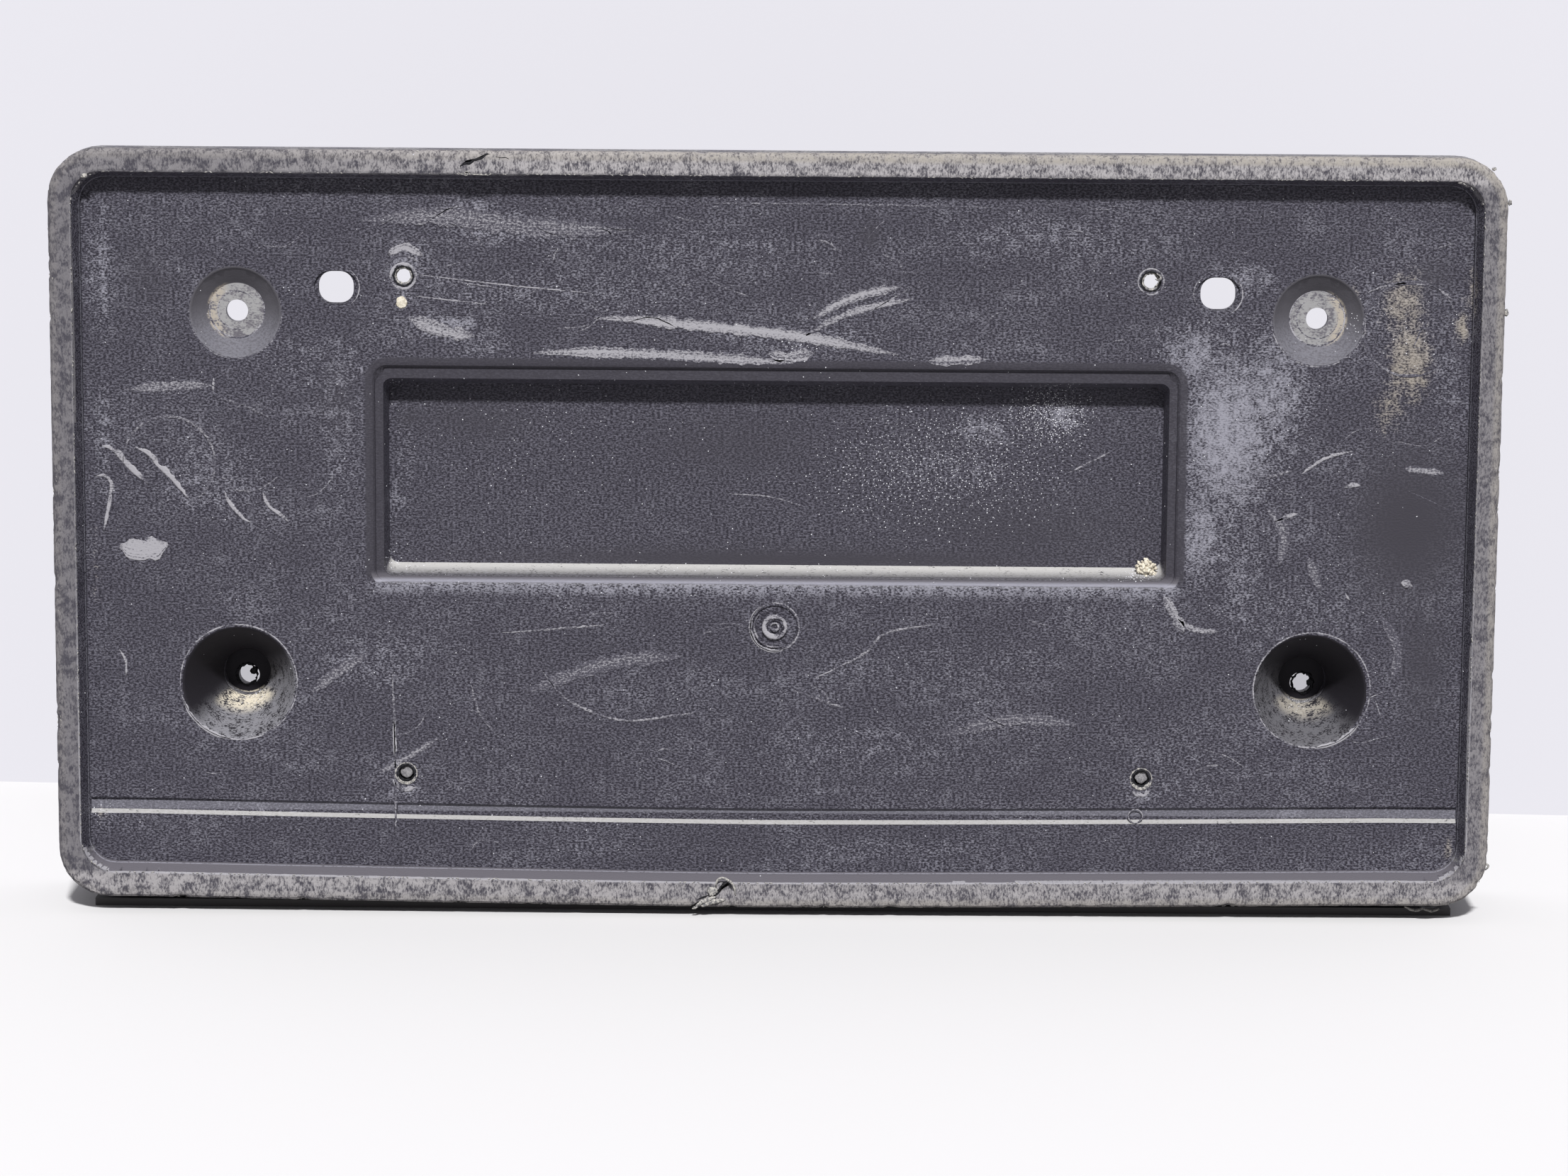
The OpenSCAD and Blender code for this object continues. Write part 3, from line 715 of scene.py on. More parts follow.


# Scratches: thin raised ridges that lie on the plate face and in the recess, and arcs of wear and painted
# highlight on the cones' lips
scratchSetup = {
    "step": 0.9,
    "ridge": 0.018,  # height in mm
    "single": [  # points, width, strength, depth if not 0
        ([(-86, 60.7), (-65, 58.4), (-44, 56.5)], 0.35, 0.85), ([(-86, 55.5), (-69, 53.7)], 0.35, 0.8),
        ([(-78.5, 59.3), (-65.5, 57.5)], 0.3, 0.5), ([(22, 52.5), (32.4, 58.8)], 0.4, 0.5),
        ([(-134.4, 35.6), (-134.5, 32.2)], 0.7, 0.9),
        ([(-161.3, 19), (-158.5, 18.2), (-154.8, 14.2), (-150.3, 9.9)], 1.7, 0.8),
        ([(-153.7, 18.9), (-150.2, 17.4), (-147.9, 14.7), (-143.9, 10.7), (-140.8, 6.5)], 1.5, 0.95),
        ([(-163.1, 11.6), (-161, 11.8), (-159.2, 10.2), (-159.7, 5.4), (-161.2, -1.8)], 1.1, 0.8),
        ([(-132.1, 8.4), (-130.9, 5.6), (-128.2, 2.4), (-125.8, 0.8)], 1.2, 0.75),
        ([(-123, 8.1), (-121.8, 5.3), (-119.5, 3.3), (-116.7, 1.1)], 1.1, 0.7),
        ([(-157.9, -30.3), (-156.3, -33.5), (-156.5, -36.8)], 0.7, 0.8),
        ([(-92.2, -32), (-91.9, -42), (-91.6, -56), (-91.5, -75.5)], 0.8, 0.35),
        ([(-91.8, -47), (-91.6, -56.5)], 1, 0.8),
        ([(-65.7, -25.6), (-54.4, -24.7), (-41.2, -23.5)], 0.6, 0.5),
        ([(-73.3, -37.7), (-71.1, -45.4), (-65.8, -52.1)], 0.7, 0.35),
        ([(-56.3, -34.7), (-49.7, -42), (-37.4, -46.7), (-24.1, -45.6), (-15.6, -44)], 0.7, 0.4),
        ([(9.9, -36.1), (21.2, -30.3), (26.8, -25), (38, -22.8)], 0.7, 0.5),
        ([(125.8, 14.4), (131.3, 18.2), (137.9, 20.1)], 0.9, 0.7), ([(117.4, 13.4), (124, 15.3)], 0.8, 0.6),
        ([(136.2, 11.2), (138.2, 11.9), (140, 12)], 1.6, 0.7), ([(119.5, 2.9), (125.1, 4.9)], 1.2, 0.6),
        ([(150.4, -12), (153.2, -12.3)], 2.4, 0.9), ([(137.2, -14.5), (138.4, -16.2)], 1.2, 0.6),
        ([(139.5, -50.5), (142, -50.9), (151.2, -48.3)], 0.3, 0.6),
        ([(143.3, -40), (147.5, -38.2)], 0.3, 0.5),
        ([(145, -40.5), (146.8, -45.3), (148.2, -47.5)], 0.25, 0.4),
        ([(139.6, 57.7), (145, 59.8), (150.7, 60.3), (156, 59.5), (160.2, 57), (164.5, 53.5)], 0.9, 0.4),
        ([(4.3, -39), (17.5, -43.7)], 0.6, 0.4), ([(-73.5, -78.3), (-71, -75.6), (-65.8, -76.3)], 0.7, 0.4),
        ([(-19, 78.2), (10, 78.1), (54, 77.6)], 0.5, 0.3),
        ([(-11.3, 7.5), (-1, 6.8), (8.7, 3.8)], 0.4, 0.5, 8), ([(70, 12.9), (81.3, 18.7)], 0.5, 0.5, 8),
    ],
    "smears": [  # points, width, strength
        ([(-43.5, 50.6), (-32, 50.2), (-8, 48), (10, 45.9), (29, 42.4)], 2.9, 0.8),
        ([(-58, 42.2), (-44, 42.4), (-24, 41.8), (-6, 40.8), (4, 40.2)], 2.7, 0.72),
        ([(8.5, 50.6), (14, 54.2), (20, 56.6), (29.5, 58.6)], 2.6, 0.6),
        ([(7, 46.8), (14, 50.8), (22, 53.6), (32.5, 55.8)], 1.7, 0.6),
        ([(-155, 32.8), (-145, 33.4), (-134.4, 33.8)], 2.2, 0.6),
        ([(-99, 73.5), (-80, 74.5), (-58, 72), (-34, 71.5)], 4.5, 0.35),
        ([(-88, 50.5), (-80, 47.5), (-72, 46)], 3.4, 0.6),
        ([(-92.6, 65.2), (-88.7, 67.2), (-84.3, 65.2)], 2.4, 0.7),
        ([(-2, 42.4), (3, 41.6), (9, 42.8)], 3.4, 0.6), ([(36, 40.8), (50, 41.4)], 2.4, 0.6),
        ([(-112, -41), (-106, -36), (-98, -31)], 2.6, 0.4),
        ([(-96, -60.5), (-88, -56), (-81, -51.5)], 1.8, 0.4),
        ([(-157.4, -5.2), (-151.6, -6.2), (-145.8, -4.6)], 5.2, 1.15),
        ([(93.5, -15.5), (96.5, -20.5), (98.5, -24.5)], 2.6, 0.6),
        ([(97, -21), (101, -23.5), (107, -24)], 1.4, 0.5), ([(118, 6), (122, 0), (121, -8)], 2.8, 0.35),
        ([(146, -20), (150, -28), (149, -36)], 2.4, 0.3), ([(40, -50), (58, -46), (74, -47)], 3, 0.3),
        ([(-60, -40), (-40, -33), (-22, -31)], 3.4, 0.28), ([(150, 16), (160, 15)], 2, 0.4),
        ([(128, -6), (131, -14)], 2.2, 0.35),
    ],
    "rings": [  # across, up, radius, width, strength, depth, degrees of an arc
        (-145.3, 15.2, 11, 0.8, 0.34, 0, -80, 200), (151, 49.4, 11.3, 0.8, 0.25, 0, 20, 330),
        (0, -23.7, 2.5, 1.3, 0.8, 0), (0, -23.7, 5.9, 1, 0.7, 0, 120, 300), (0, -23.7, 5.9, 0.5, 0.5, 0),
        (0, -23.7, 4.9, 0.5, 0.5, 0, 140, 290), (0, -23.7, 0.9, 0.6, 0.7, 0),
        # The rings at the cones' mouths are wear and painted highlight on the lips' rounding; the widest
        # arcs lie low on the lower cones' lips
        (87.7, -68.7, 1.7, 0.3, 0.5, 0), (-129.2, -38.2, 14.1, 0.4, 0.6, 0),
        (-129.2, -38.2, 14.15, 1.1, 1.2, 0, 198, 262), (129.6, -38.2, 14.1, 0.4, 0.6, 0),
        (129.6, -38.2, 14.15, 1.1, 1.2, 0, 272, 326), (-129, 51.4, 11.15, 0.35, 0.35, 0, 160, 380),
        (129, 51.4, 11.2, 0.4, 0.4, 0, 160, 380), (-129, 51.5, 6.6, 0.5, 0.65, 3.5, 150, 420),
        (129, 51.5, 6.6, 0.5, 0.65, 3.5), (-129, 51.5, 4.6, 0.3, 0.5, 3.5, 20, 300),
        (129, 51.5, 4.9, 0.3, 0.45, 3.5, 100, 380), (-88.95, 60.25, 2.95, 0.8, 0.75, 0),
        (88.95, 60.3, 3.05, 0.5, 0.7, 0), (-88.9, -60.3, 3.5, 1.5, 0.7, 0, 205, 310),
        (88.8, -60.3, 3.5, 1.5, 0.7, 0, 235, 310), (-104.2, 57.5, 4.8, 0.3, 0.7, 0, -55, 55),
        (105.7, 57.4, 5.1, 0.35, 0.7, 0, -65, 60), (103.8, 57.5, 4.7, 0.25, 0.5, 0, 125, 240),
        (-89, 60.2, 4.9, 0.7, 0.3, 0, 25, 160),
    ],
    "fineCount": 170,
    "seed": 11,
}


def layRidge(bm, layer, points, width, strength, depth, s, seed, closed=False, columns=2):
    line = smoothLine([(x, depth, z - sagAt(x, z)) for x, z in points], s["step"], closed)
    edge = 0.4 if columns == 2 else 0.85
    tops = [(edge * (2 * k / (columns - 1) - 1), 1) for k in range(columns)]
    rows = []
    for i, centre in enumerate(line):
        side = heading(line, i, closed).cross(Vector((0, 1, 0))).normalized()
        share = i / (len(line) - 1)
        taper = 1 if closed else min(1, 0.15 + 4 * share, 0.15 + 4 * (1 - share))
        wobble = noise.noise(centre * 0.8 + Vector((seed * 9.1, 0, 0)))
        half = width / 2 * taper * (1 + 0.7 * wobble)
        centre = centre + side * wobble * 0.25 * width / (columns - 1)
        value = strength * (0.75 + 0.9 * noise.noise(centre * 0.35 + Vector((0, seed * 4.3, 0))))
        row = []
        for across, lift in [(-1, -0.3)] + tops + [(1, -0.3), (0.9, -3), (-0.9, -3)]:
            vert = bm.verts.new((centre + side * across * half - Vector((0, lift * s["ridge"], 0))) * mm)
            if columns > 2:
                at = Vector((centre.x * 0.035, across * width * 2.2, seed * 3.1))
                value = strength * (0.85 - 0.45 * across ** 2 + 0.7 * noise.noise(at)) * (0.5 + 0.5 * taper)
            vert[layer] = value * (1 if lift > 0 else 0.5)
            row.append(vert)
        rows.append(row)
    joinRows(bm, rows, closed)


def makeScratches(s):
    bm = bmesh.new()
    layer = bm.verts.layers.float.new("mark")
    pick = random.Random(s["seed"])
    for seed, (points, width, strength, *depth) in enumerate(s["single"]):
        layRidge(bm, layer, points, width, strength, sum(depth), s, seed)
    for seed, (points, width, strength) in enumerate(s["smears"]):
        layRidge(bm, layer, points, width, strength, 0, s, seed + 60, False, max(4, int(width / 0.3)))
    keepOff = [(c["across"], c["up"], 21) for c in (lowerCone, upperCone)]
    keepOff += [(slotShape["across"], slotShape["up"], 11), (88.9, 60.3, 9), (88.9, -60.3, 9)]
    for k in range(s["fineCount"]):
        across, up = pick.uniform(-158, 158), pick.choice((pick.uniform(42, 78), pick.uniform(-64, 38)))
        middle = Vector((across, up))
        reach = Vector((1, pick.gauss(0, 0.5))).normalized() * pick.uniform(1.5, 7)
        overHole = any(math.dist((abs(across), up), hole[:2]) < hole[2] for hole in keepOff)
        if overHole or abs(across) < 106 and -20 < up < 46:
            continue
        bend = Vector((-reach.y, reach.x)) * pick.uniform(-0.4, 0.4)
        points = [middle - reach, middle + bend, middle + reach]
        layRidge(bm, layer, points, pick.uniform(0.25, 0.6), pick.uniform(0.12, 0.4), 0, s, k)
    for across, up, radius, width, strength, depth, *arc in s["rings"]:
        start, end = arc or (0, 360)
        closed = not arc
        count = max(8, int((end - start) / 15))
        turns = [math.radians(start + (end - start) * k / count) for k in range(count + (not closed))]
        points = [(across + radius * math.cos(t), up + radius * math.sin(t)) for t in turns]
        layRidge(bm, layer, points, width, strength, depth, s, radius, closed)
    return bm


def makeScratchFinish(look):
    b = surfaceBench("scratchesAndLipSheen")
    height, fine = moulded(b, look)
    mark = b.read("Fac", "ShaderNodeAttribute", attribute_name="mark")
    b.cover(0.35, look["grain"])
    b.cover(b.fade(mark + (fine - 0.5) * 1.4, 0.12, 0.7), look["scuffAndSheen"])
    return finish(b, 0.6, height)


finishPiece(makeScratches(scratchSetup), "scratches_and_lip_highlights", makeScratchFinish(plasticLook))
print("scratches made")

# Finishes of the torn bits and the dirt, and of the painted shade in the crack, the pits and the holes
def makeSpeckledFinish(name, dark, light, size, roughness):
    b = surfaceBench(name)
    fine = b.speckle(b.place, size, 2.0, 0.6)
    b.colour = b.tint(b.fade(fine, 0.36, 0.64), paint(*dark), paint(*light))
    return finish(b, roughness, fine * 0.1)


tornFinish = makeSpeckledFinish("tornPlastic", (112, 111, 114), (196, 192, 186), 0.5, 0.8)
# Near black for painted shade: in the crack and the tear, in rim pits, in the small holes and deep in the
# screw holes
shadeBlackFinish = makeSpeckledFinish("shadeBlackPlastic", (18, 18, 20), (38, 38, 42), 0.6, 0.55)
# Grey for the discs in the lower holes: painted shade, standing for the shaded background seen through them
greyShadeDisc = makeSpeckledFinish("greyShadeDisc", (122, 120, 124), (158, 156, 158), 0.5, 0.95)
whiteDust = makeSpeckledFinish("whiteDust", (214, 214, 220), (240, 240, 246), 0.6, 0.95)
creamDirt = makeSpeckledFinish("creamDirt", (204, 195, 177), (238, 231, 216), 0.9, 0.95)

# The crack in the top rim, the tear in the bottom rim, and burrs on the rim: (across, behind, up) in mm
rimDamage = {
    "lightStrips": [  # points, width, thickness
        ([(-18.6, -6.1, -91.3), (-17, -6.3, -90.1), (-15.4, -6.3, -89.5), (-13.6, -6.2, -88.8)], 1.1, 0.5),
        ([(-17.2, -6.1, -91.2), (-15.4, -6.2, -90.4), (-13.4, -6.2, -89.9),
          (-11.6, -6.1, -89.6)], 1.2, 0.45),
        ([(-13.7, -6.3, -86.3), (-13.4, -6.7, -84.7), (-12.1, -6.9, -84.1), (-10.4, -6.8, -84.9),
          (-9.4, -6.5, -86.2), (-8.9, -6.2, -88.4)], 0.75, 0.5),
        ([(-75.2, -6, 85.3), (-74.2, -6.1, 84.9), (-73.3, -6.2, 84.7), (-72.7, -6.2, 85.2),
          (-73.2, -6.2, 85.7), (-73.8, -6.1, 85.2), (-72.2, -6.1, 85), (-70.5, -6.05, 84.9),
          (-68, -6, 84.8)], 0.3, 0.3),
        ([(171.5, -4, -79.2), (173, -3.6, -80.3), (172.3, -3.4, -81.4)], 0.6, 0.5),
        ([(153, -3.5, -90.6), (155.6, -3, -91.6), (158.2, -3, -91)], 0.7, 0.6),
        ([(157.2, -3.4, -90.9), (159.6, -3.2, -91.7), (161.6, -3.2, -91.1)], 0.6, 0.5),
    ],
    "lightLumps": [  # middle, reach, turn in degrees
        ((-14.5, -6.15, -87.5), (1.25, 0.35, 1.1), 25), ((-18.7, -6, -91.6), (0.75, 0.4, 0.3), -20),
        ((168.9, -4.6, 87.9), (0.5, 0.4, 0.45), 0), ((172.9, -4.4, 80), (0.45, 0.5, 0.7), 0),
        ((172.9, -3.8, 54), (0.6, 0.6, 0.8), 10), ((-172.2, -4.2, 3), (0.4, 0.5, 0.9), 0),
        ((-172.2, -4.2, 71), (0.4, 0.5, 0.7), 0), ((-163.6, -5.9, 84), (0.7, 0.3, 0.6), 0),
    ],
    # Dark strips are painted shade: behind and along the crack and the tear, and in small pits and nicks at
    # the rim's edge
    "darkStrips": [
        ([(-75.3, -4.15, 86.6), (-73.2, -4.15, 87.5), (-71.4, -4.15, 88.1), (-68.4, -3.9, 89.4)], 2.4, 1),
        ([(-19, -4.2, -91.2), (-15, -4.2, -89.2), (-12.4, -4.2, -87), (-9.6, -4.2, -85.4)], 2.4, 1),
        ([(-74.9, -5.95, 86.8), (-74.1, -5.95, 87.3), (-73.2, -5.95, 87.6), (-72.3, -5.95, 87.7),
          (-71.6, -5.95, 88.3), (-70.6, -5.95, 88.6), (-69.6, -5.95, 88.9), (-69, -5.9, 89.4),
          (-68.6, -5.85, 89.8)], 0.62, 0.42),
        ([(-73.4, -5.95, 87.4), (-72.6, -5.95, 87.5), (-72, -5.95, 87.9)], 0.8, 0.42),
        ([(-66.5, -5.95, 89.2), (-65.2, -5.95, 88.9), (-64.2, -5.95, 89), (-63.3, -5.95, 88.6)], 0.2, 0.35),
        ([(-18.2, -5.95, -89.6), (-16.9, -5.95, -89), (-15.4, -5.95, -88.5)], 0.3, 0.6),
        ([(-14.6, -5.95, -88.6), (-13.4, -5.95, -88.1), (-12.9, -5.95, -87.2),
          (-12.4, -5.95, -86)], 0.6, 0.6),
        ([(-12.4, -6.3, -86.2), (-12, -6.6, -85.3), (-11.2, -6.7, -85), (-10.4, -6.6, -85.6),
          (-10, -6.3, -86.7)], 0.28, 0.7), ([(168.5, -4.9, 86.4), (169.4, -4.4, 85.6)], 0.8, 0.5),
        ([(171.6, -4.4, 80.4), (172, -4.1, 78.9)], 0.8, 0.5),
        ([(156.5, -5.2, -90.2), (158.6, -5, -90.4), (160.4, -5, -90.3)], 0.4, 0.5),
    ],
}


def makeRimDamage(d):
    light, dark = bmesh.new(), bmesh.new()
    for seed, (points, width, thick) in enumerate(d["lightStrips"]):
        sweep(light, points, width, thick, 0.25, seed)
    for seed, (middle, reach, turn) in enumerate(d["lightLumps"]):
        lump(light, middle, reach, 0.45, seed, turn)
    for seed, (points, width, thick) in enumerate(d["darkStrips"]):
        sweep(dark, points, width, thick, 0.2, seed)
    finishPiece(light, "rim_burrs", tornFinish)
    finishPiece(dark, "crack_and_pit_shade", shadeBlackFinish)


makeRimDamage(rimDamage)
print("rim damage made")

# Torn rings round the small plate holes, with painted shade and light in them: dark rings on their walls,
# and in the lower two a grey disc for the shaded background seen through, a black stop behind it and a light
# crescent on the lower wall; torn bits in the cones' holes
holeSetup = {
    "across": 88.9,
    "up": 60.3,
    "upperRings": [  # radius, depth, width, thickness, dark or light
        (2.35, 0.05, 0.45, 0.3, "dark"), (2.0, 0.45, 0.4, 0.5, "light"), (1.85, 1.3, 0.4, 0.5, "light"),
    ],
    "lowerRings": [
        (2.6, -0.02, 0.3, 0.2, "light"), (2.1, 0.35, 0.6, 0.5, "dark"), (1.95, 1.2, 0.7, 0.7, "dark"),
    ],
    "plug": (1.55, 1.0, 0.35, 0.15),  # reach, depth, lift, towards the right
    "stop": (2.4, 3.6),  # reach, depth
    "clump": (89.6, 5.2, -9.6),  # in the recess's lower corner
    "clumpReach": (2.7, 1.6, 2.5),
    "clumpParts": 90,
    "chip": (-89.4, 54.1, 1.35),  # across, up, reach
    "coneHoles": ((-129.6, -39.8, 35), (129.5, -39.9, 5)),  # across, up, degrees to the torn bit
    "coneDepth": 19.9,
    "coneRadius": 2.55,
    "seed": 3,
}


def circle(across, depth, up, radius, count=18):
    turns = [2 * math.pi * k / count for k in range(count)]
    return [(across + radius * math.cos(t), depth, up + radius * math.sin(t)) for t in turns]


def makeHoleDetails(h):
    noise.seed_set(h["seed"])
    rings, torn, plugs = bmesh.new(), bmesh.new(), bmesh.new()
    for seed, across in enumerate((-h["across"], h["across"])):
        for name, up in (("upperRings", h["up"]), ("lowerRings", -h["up"])):
            for k, (radius, depth, width, thick, shade) in enumerate(h[name]):
                # Dark rings are painted shade on the holes' walls
                into = rings if shade == "light" else torn
                sweep(into, circle(across, depth, up, radius), width, thick, 0.7, seed * 9 + k, True, 0.3)
        # Painted shade and light in the lower holes: a grey disc, a black stop behind it, and a light
        # crescent low on the wall
        reach, depth, lift, right = h["plug"]
        lump(plugs, (across + right, depth, -h["up"] + lift), (reach, 0.35, reach), 0.2, seed)
        reach, depth = h["stop"]
        lump(torn, (across, depth, -h["up"]), (reach, 0.4, reach), 0.05, seed)
        litCrescent = circle(across, 0.2, -h["up"] - 0.1, 2.2)[10:18]
        sweep(rings, litCrescent, 0.5 + 0.5 * seed, 0.5, 0.4, seed + 15)
    curl = [(90.2, -0.5, 62.3), (91.1, -1.0, 61.5), (90.7, -1.1, 60.6), (89.9, -0.7, 60.9)]
    sweep(rings, curl, 0.6, 0.45, 0.5, 21)
    for seed, (across, up, degrees) in enumerate(h["coneHoles"]):
        radius, turn = h["coneRadius"], math.radians(degrees)
        sweep(torn, circle(across, h["coneDepth"] - 0.1, up, radius), 0.6, 0.5, 0.9, seed, True, 0.3)
        reachIn = [(radius + 0.5, 0.0), (radius - 0.5, -0.3), (radius - 1.5, -0.2)]
        bit = [
            (across + away * math.cos(turn), h["coneDepth"] + lift, up + away * math.sin(turn))
            for away, lift in reachIn
        ]
        sweep(torn, bit, 1.7, 0.5, 0.7, seed + 5)
    across, up, reach = h["chip"]
    chip = bmesh.new()
    lump(chip, (across, 0, up), (reach, 0.1, reach), 0.35, 4)
    for seed in range(h["clumpParts"]):
        out = (0.15 + 0.85 * seed / h["clumpParts"]) ** 0.6
        way = noise.random_unit_vector(size=3)
        place = [a + b * c * out for a, b, c in zip(h["clump"], way, h["clumpReach"])]
        size = 0.95 - 0.55 * out
        lump(chip, place, (size, size, size * 0.8), 0.9, seed, seed * 40, 2)
    finishPiece(chip, "cream_dirt", creamDirt)
    finishPiece(rings, "hole_burrs", tornFinish)
    finishPiece(plugs, "hole_shade_discs", greyShadeDisc)
    finishPiece(torn, "screw_hole_burrs_and_shade", shadeBlackFinish)


makeHoleDetails(holeSetup)
print("hole details made")

# Geometry Nodes: a tree's inputs are set by their identifiers, then its result becomes a plain mesh
def growPiece(name, base, tree, values):
    host = addObject(name + "Host", base)
    modifier = host.modifiers.new(tree.name, "NODES")
    modifier.node_group = tree
    for item in tree.interface.items_tree:
        if item.name in values:
            modifier[item.identifier] = values[item.name]
    bpy.context.view_layer.update()
    shown = host.evaluated_get(bpy.context.evaluated_depsgraph_get())
    mesh = bpy.data.meshes.new_from_object(shown)
    bpy.data.objects.remove(host)
    mesh.name = name
    print(name, len(mesh.polygons) // 20)
    addPiece(name, mesh)


def newGrowth(name, *amounts):
    tree = bpy.data.node_groups.new(name, "GeometryNodeTree")
    kinds = {"Geometry": "Geometry", "seed": "Int", "finish": "Material"}
    for label in ("Geometry", *amounts, "size", "seed", "finish"):
        kind = "NodeSocket" + kinds.get(label, "Float")
        tree.interface.new_socket(label, in_out="INPUT", socket_type=kind)
    tree.interface.new_socket("Geometry", in_out="OUTPUT", socket_type="NodeSocketGeometry")
    b = Bench(tree)
    return b, b.add("NodeGroupInput").outputs, b.add("NodeGroupOutput").inputs


def scatter(b, points, rotation, stretch, given, result):
    grain = b.read("Mesh", "GeometryNodeMeshIcoSphere", {"Radius": given["size"], "Subdivisions": 1})
    placed = b.read(0, "GeometryNodeInstanceOnPoints", {
        "Points": points, "Instance": grain, "Rotation": rotation, "Scale": stretch,
    })
    real = b.read(0, "GeometryNodeRealizeInstances", {0: placed})
    done = b.read(0, "GeometryNodeSetMaterial", {"Geometry": real, "Material": given["finish"]})
    b.feed(result["Geometry"], done)


def randomVector(b, low, high, seed):
    return b.read(0, "FunctionNodeRandomValue", {"Seed": seed, 0: low, 1: high}, data_type="FLOAT_VECTOR")


# Dirt and dust grains: middle, reach and density of each place where they lie, in mm
grainSetup = {
    "perSquareMetre": 6e6,
    "size": 0.2 * mm,
    "places": [
        ((88, 5, -11), (4, 3.4, 2.6), 0.8), ((66, 8, 27), (13, 2, 9), 0.5),
        ((40, 8, 14), (40, 2, 20), 0.16), ((-60, 8, 20), (40, 2, 20), 0.015),
        ((4, 0, 42.5), (6, 1, 3), 0.3), ((-92, 8, 33), (4, 2, 4), 0.08), ((-91, 7, -9), (5, 3, 4), 0.1),
        ((-125.5, 14, -44.5), (6, 4, 2), 0.2), ((127.5, 14, -44.5), (4, 4, 2), 0.25),
        ((137.3, 2, 50), (2, 3, 5), 0.25), ((-163, 1, -70.5), (1.8, 2, 1.8), 0.9),
        ((151, 0, 47), (9, 1, 12), 0.03), ((162.6, 0, 49.5), (2.4, 1, 5), 0.12),
        ((0, 2, 0), (260, 14, 150), 0.003), ((0, 6, -12), (97, 3, 2.5), 0.05),
    ],
    "stretch": (0.3, 1.0),
    "seed": 5,
}


def makeGrains(g):
    b, given, result = newGrowth("dirtGrains", "perSquareMetre")
    place = b.inMillimetres(b.read(0, "GeometryNodeInputPosition"))
    masks = []
    for middle, reach, density in g["places"]:
        away = b.vector("LENGTH", b.vector("DIVIDE", b.vector("SUBTRACT", place, middle), reach))
        masks.append(b.fade(away, 1.0, 0.3) * density)
    facing = b.split(b.read(0, "GeometryNodeInputNormal"))[1]
    density = b.most(*masks) * b.fade(facing, 0.0, -0.2) * given["perSquareMetre"]
    points = b.read("Points", "GeometryNodeDistributePointsOnFaces", {
        "Mesh": given["Geometry"], "Seed": given["seed"], "Density": density,
    })
    turn = randomVector(b, (0, 0, 0), (6.28, 6.28, 6.28), 3)
    stretch = randomVector(b, *((share, share, share) for share in g["stretch"]), 4)
    scatter(b, points, turn, stretch, given, result)
    growPiece("dirt_grains", moulding.data, b.tree, {**g, "finish": whiteDust})


makeGrains(grainSetup)

# Fine frayed burrs along the rim's edges
frayedSetup = {
    "spacing": 1.1 * mm,
    "size": 0.17 * mm,
    "keep": 0.45,  # share of the places that have one
    # outline, offset, depth
    "edges": [("pocket", 1.5, -5.95), ("outer", -1.15, -5.75), ("outer", -0.25, -4.9)],
    "tilt": 0.5,
    "stretch": ((0.5, 0.4, 1.0), (1.1, 1.0, 4.0)),
    "seed": 8,
}


def outlinePoints(name, offset, step):
    halfWide, halfHigh, up, corner = outlines[name]
    halfWide, halfHigh, corner = halfWide + offset, halfHigh + offset, corner + offset
    points = []
    for turn, (sideX, sideZ) in enumerate(((1, 1), (-1, 1), (-1, -1), (1, -1))):
        middle = (sideX * (halfWide - corner), up + sideZ * (halfHigh - corner))
        for k in range(9):
            angle = math.pi / 2 * (turn + k / 8)
            points.append((middle[0] + corner * math.cos(angle), middle[1] + corner * math.sin(angle)))
    line = []
    for a, b in zip(points, points[1:] + points[:1]):
        count = max(1, int(math.dist(a, b) / step))
        line += [(a[0] + (b[0] - a[0]) * k / count, a[1] + (b[1] - a[1]) * k / count) for k in range(count)]
    return line


def makeFrayed(s):
    bm = bmesh.new()
    for name, offset, depth in s["edges"]:
        line = outlinePoints(name, offset, 3)
        verts = [bm.verts.new(Vector((x, depth, z - sagAt(x, z))) * mm) for x, z in line]
        for a, b in zip(verts, verts[1:] + verts[:1]):
            bm.edges.new((a, b))
    b, given, result = newGrowth("frayedEdge", "spacing", "keep")
    curve = b.read(0, "GeometryNodeMeshToCurve", {0: given["Geometry"]})
    spaced = {"Curve": curve, "Length": given["spacing"]}
    line = b.add("GeometryNodeCurveToPoints", spaced, mode="LENGTH").outputs
    chance = b.read(1, "FunctionNodeRandomValue", {"Seed": given["seed"]}, data_type="FLOAT")
    drop = b.read(0, "FunctionNodeCompare", {0: chance, 1: given["keep"]}, operation="GREATER_THAN")
    kept = b.read(0, "GeometryNodeDeleteGeometry", {"Geometry": line["Points"], "Selection": drop})
    tilt = randomVector(b, (-s["tilt"],) * 3, (s["tilt"],) * 3, 6)
    turned = {0: line["Rotation"], 1: tilt}
    turned = b.read(0, "FunctionNodeRotateRotation", turned, rotation_space="LOCAL")
    scatter(b, kept, turned, randomVector(b, *s["stretch"], 7), given, result)
    growPiece("frayed_edges", takeMesh(bm, "rimEdges"), b.tree, {**s, "finish": tornFinish})


makeFrayed(frayedSetup)

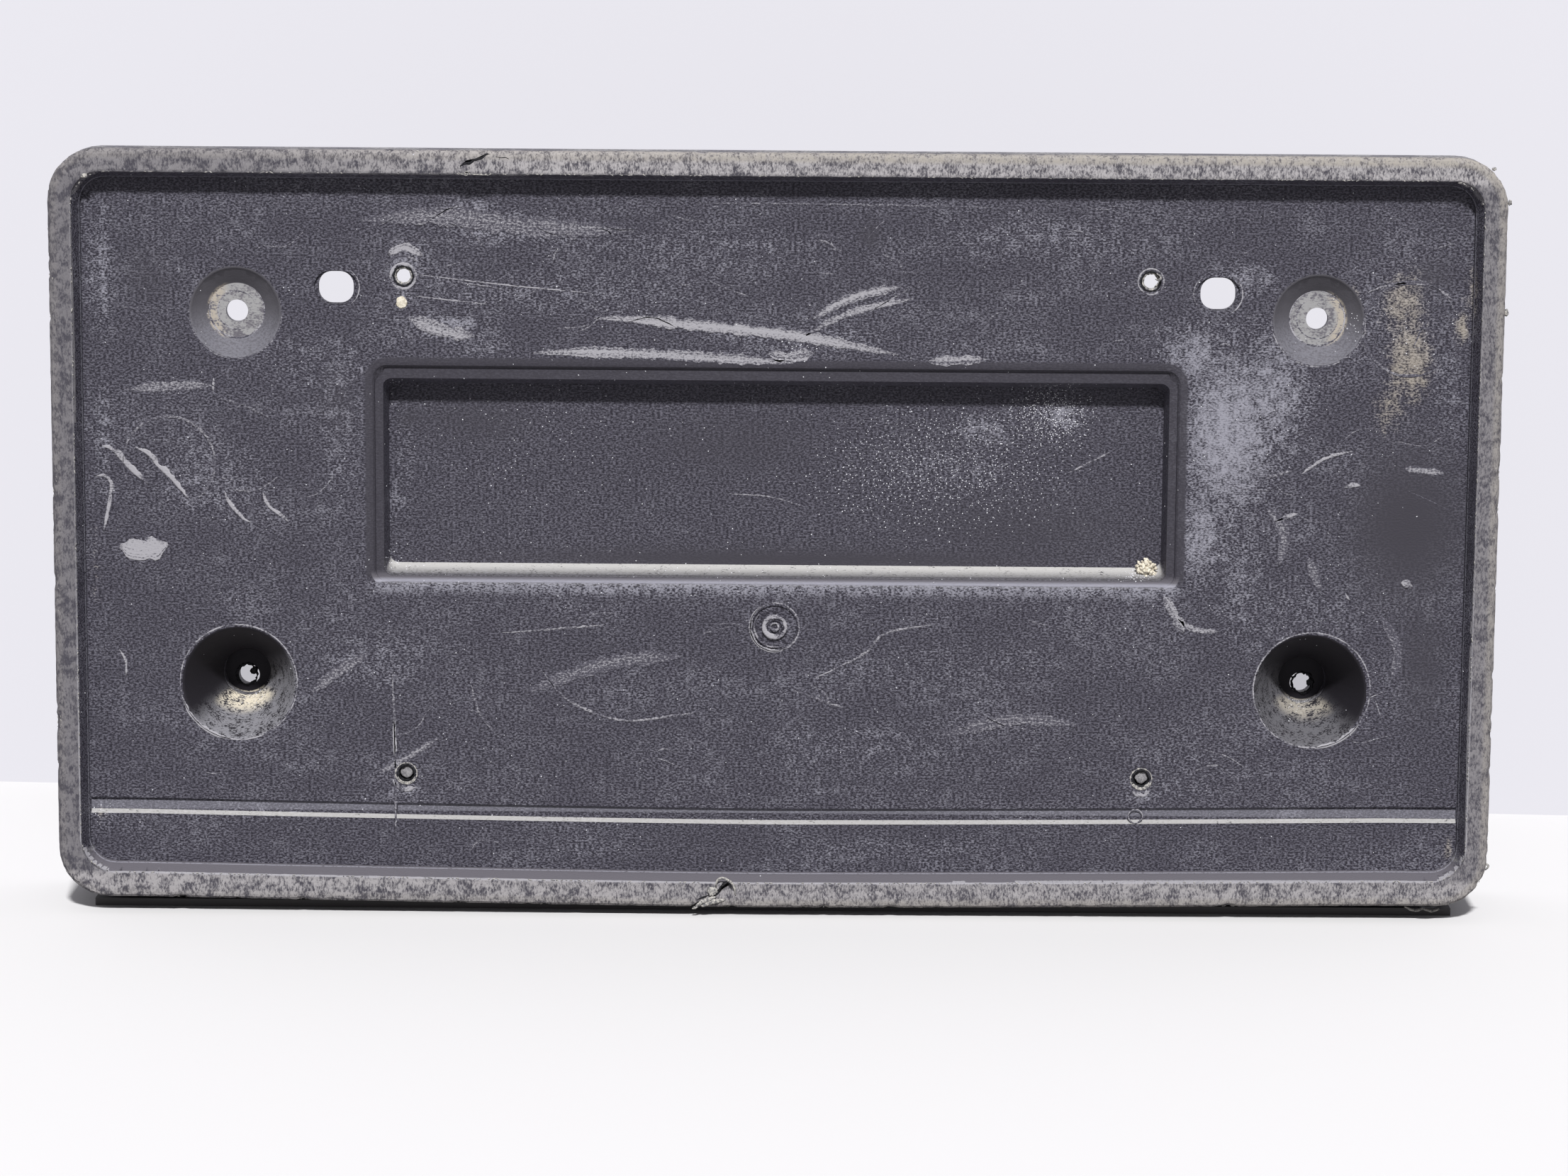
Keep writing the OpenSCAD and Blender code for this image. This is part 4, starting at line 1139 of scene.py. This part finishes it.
# Pale floor, pale wall behind it, and light
studio = {
    "floorColour": (0.85, 0.84, 0.845),
    "floorSize": 60,  # metres
    "wallColour": (0.8, 0.79, 0.845),
    "wallSize": 20,
    "bounceShare": 0.35,  # of their paleness in the light that they throw back
    "shadowStripColour": (40, 36, 38),
    "supportHalfWide": 165 * mm,
    "supportFront": 2 * mm,
    "supportBack": 20 * mm,
    "gap": 3.6 * mm,  # the holder stands this far off the floor on its hidden back edge
    "wallBehind": 136 * mm,
    "wallTurn": -3.9,  # degrees
    "wallBounceShare": 0.6,
    "wallGlow": 0.6,  # share of the wall that the camera sees as evenly lit
    "skyStrength": 0.2,
    "sunStrength": 3.75,
    "sunFrom": (0.03, -0.73, 0.68),
    "sunSpread": 5,  # degrees
}


def seenDirectly(b):
    path = b.add("ShaderNodeLightPath").outputs
    return b.most(path["Is Camera Ray"], path["Is Glossy Ray"], path["Is Transmission Ray"])


def makeBackdrop(name, colour, share, glow, place, turn, size):
    bpy.ops.mesh.primitive_plane_add(size=size, location=place, rotation=turn)
    plane = bpy.context.object
    plane.name = name
    material, nodes = newMaterial(name)
    b = Bench(material.node_tree)
    direct = seenDirectly(b)
    pale, dim = (*colour, 1), (*(c * share for c in colour), 1)
    shown = b.read(0, "ShaderNodeBsdfDiffuse", {"Color": b.tint(direct, dim, pale)})
    if glow:
        material.cycles.emission_sampling = "NONE"
        lit = b.read(0, "ShaderNodeEmission", {"Color": pale, "Strength": 1.0})
        shown = b.read(0, "ShaderNodeMixShader", {0: direct * glow, 1: shown, 2: lit})
        behind = b.read("Backfacing", "ShaderNodeNewGeometry")
        clear = b.read(0, "ShaderNodeBsdfTransparent")
        shown = b.read(0, "ShaderNodeMixShader", {0: behind, 1: shown, 2: clear})
    b.feed(nodes["Material Output"].inputs["Surface"], shown)
    plane.data.materials.append(material)


# Painted shade: a black strip under the skirt whose dark front stands for the shadow under the rim
def makeShadowStrip(low, s):  # a low black strip under the skirt, hidden but for its dark front
    size = Vector((2 * s["supportHalfWide"], s["supportBack"] - s["supportFront"], s["gap"] / 2))
    middle = Vector((0, s["supportFront"] + s["supportBack"], s["gap"] / 2)) / 2
    bm = bmesh.new()
    bmesh.ops.create_cube(bm, size=1)
    for vert in bm.verts:
        vert.co = vert.co * size + middle + Vector((0, 0, low))
    mesh = takeMesh(bm, "shadowStrip")
    material, nodes = newMaterial("shadowStripBlack")
    nodes["Principled BSDF"].inputs["Base Color"].default_value = paint(*s["shadowStripColour"])
    mesh.materials.append(material)
    shadowStrip = addObject("shadowStrip", mesh)


def makeStudio(s):
    low = cadBox[0][2] - s["gap"]
    makeBackdrop("floor", s["floorColour"], s["bounceShare"], 0, (0, 0, low), (0, 0, 0), s["floorSize"])
    makeShadowStrip(low, s)
    upright = (math.pi / 2, 0, math.radians(s["wallTurn"]))
    place = (0, s["wallBehind"], low + s["wallSize"] / 2)
    makeBackdrop("wall", s["wallColour"], s["wallBounceShare"], s["wallGlow"], place, upright, s["wallSize"])
    world = bpy.data.worlds.new("studioWorld")
    world.use_nodes = True
    b = Bench(world.node_tree)
    lit = world.node_tree.nodes["Background"]
    lit.inputs["Color"].default_value = (1, 1, 1, 1)
    lit.inputs["Strength"].default_value = s["skyStrength"]
    seen = b.read(0, "ShaderNodeBackground", {"Color": (*s["wallColour"], 1), "Strength": 1.0})
    both = b.read(0, "ShaderNodeMixShader", {0: seenDirectly(b), 1: lit.outputs[0], 2: seen})
    b.feed(world.node_tree.nodes["World Output"].inputs["Surface"], both)
    world.cycles.sampling_method = "NONE"
    scene.world = world
    lamp = bpy.data.lights.new("keySun", "SUN")
    lamp.energy, lamp.angle = s["sunStrength"], math.radians(s["sunSpread"])
    key = addObject("keySun", lamp)
    key.rotation_euler = Vector(s["sunFrom"]).to_track_quat("Z", "Y").to_euler()


makeStudio(studio)
scene.view_settings.view_transform = "Standard"
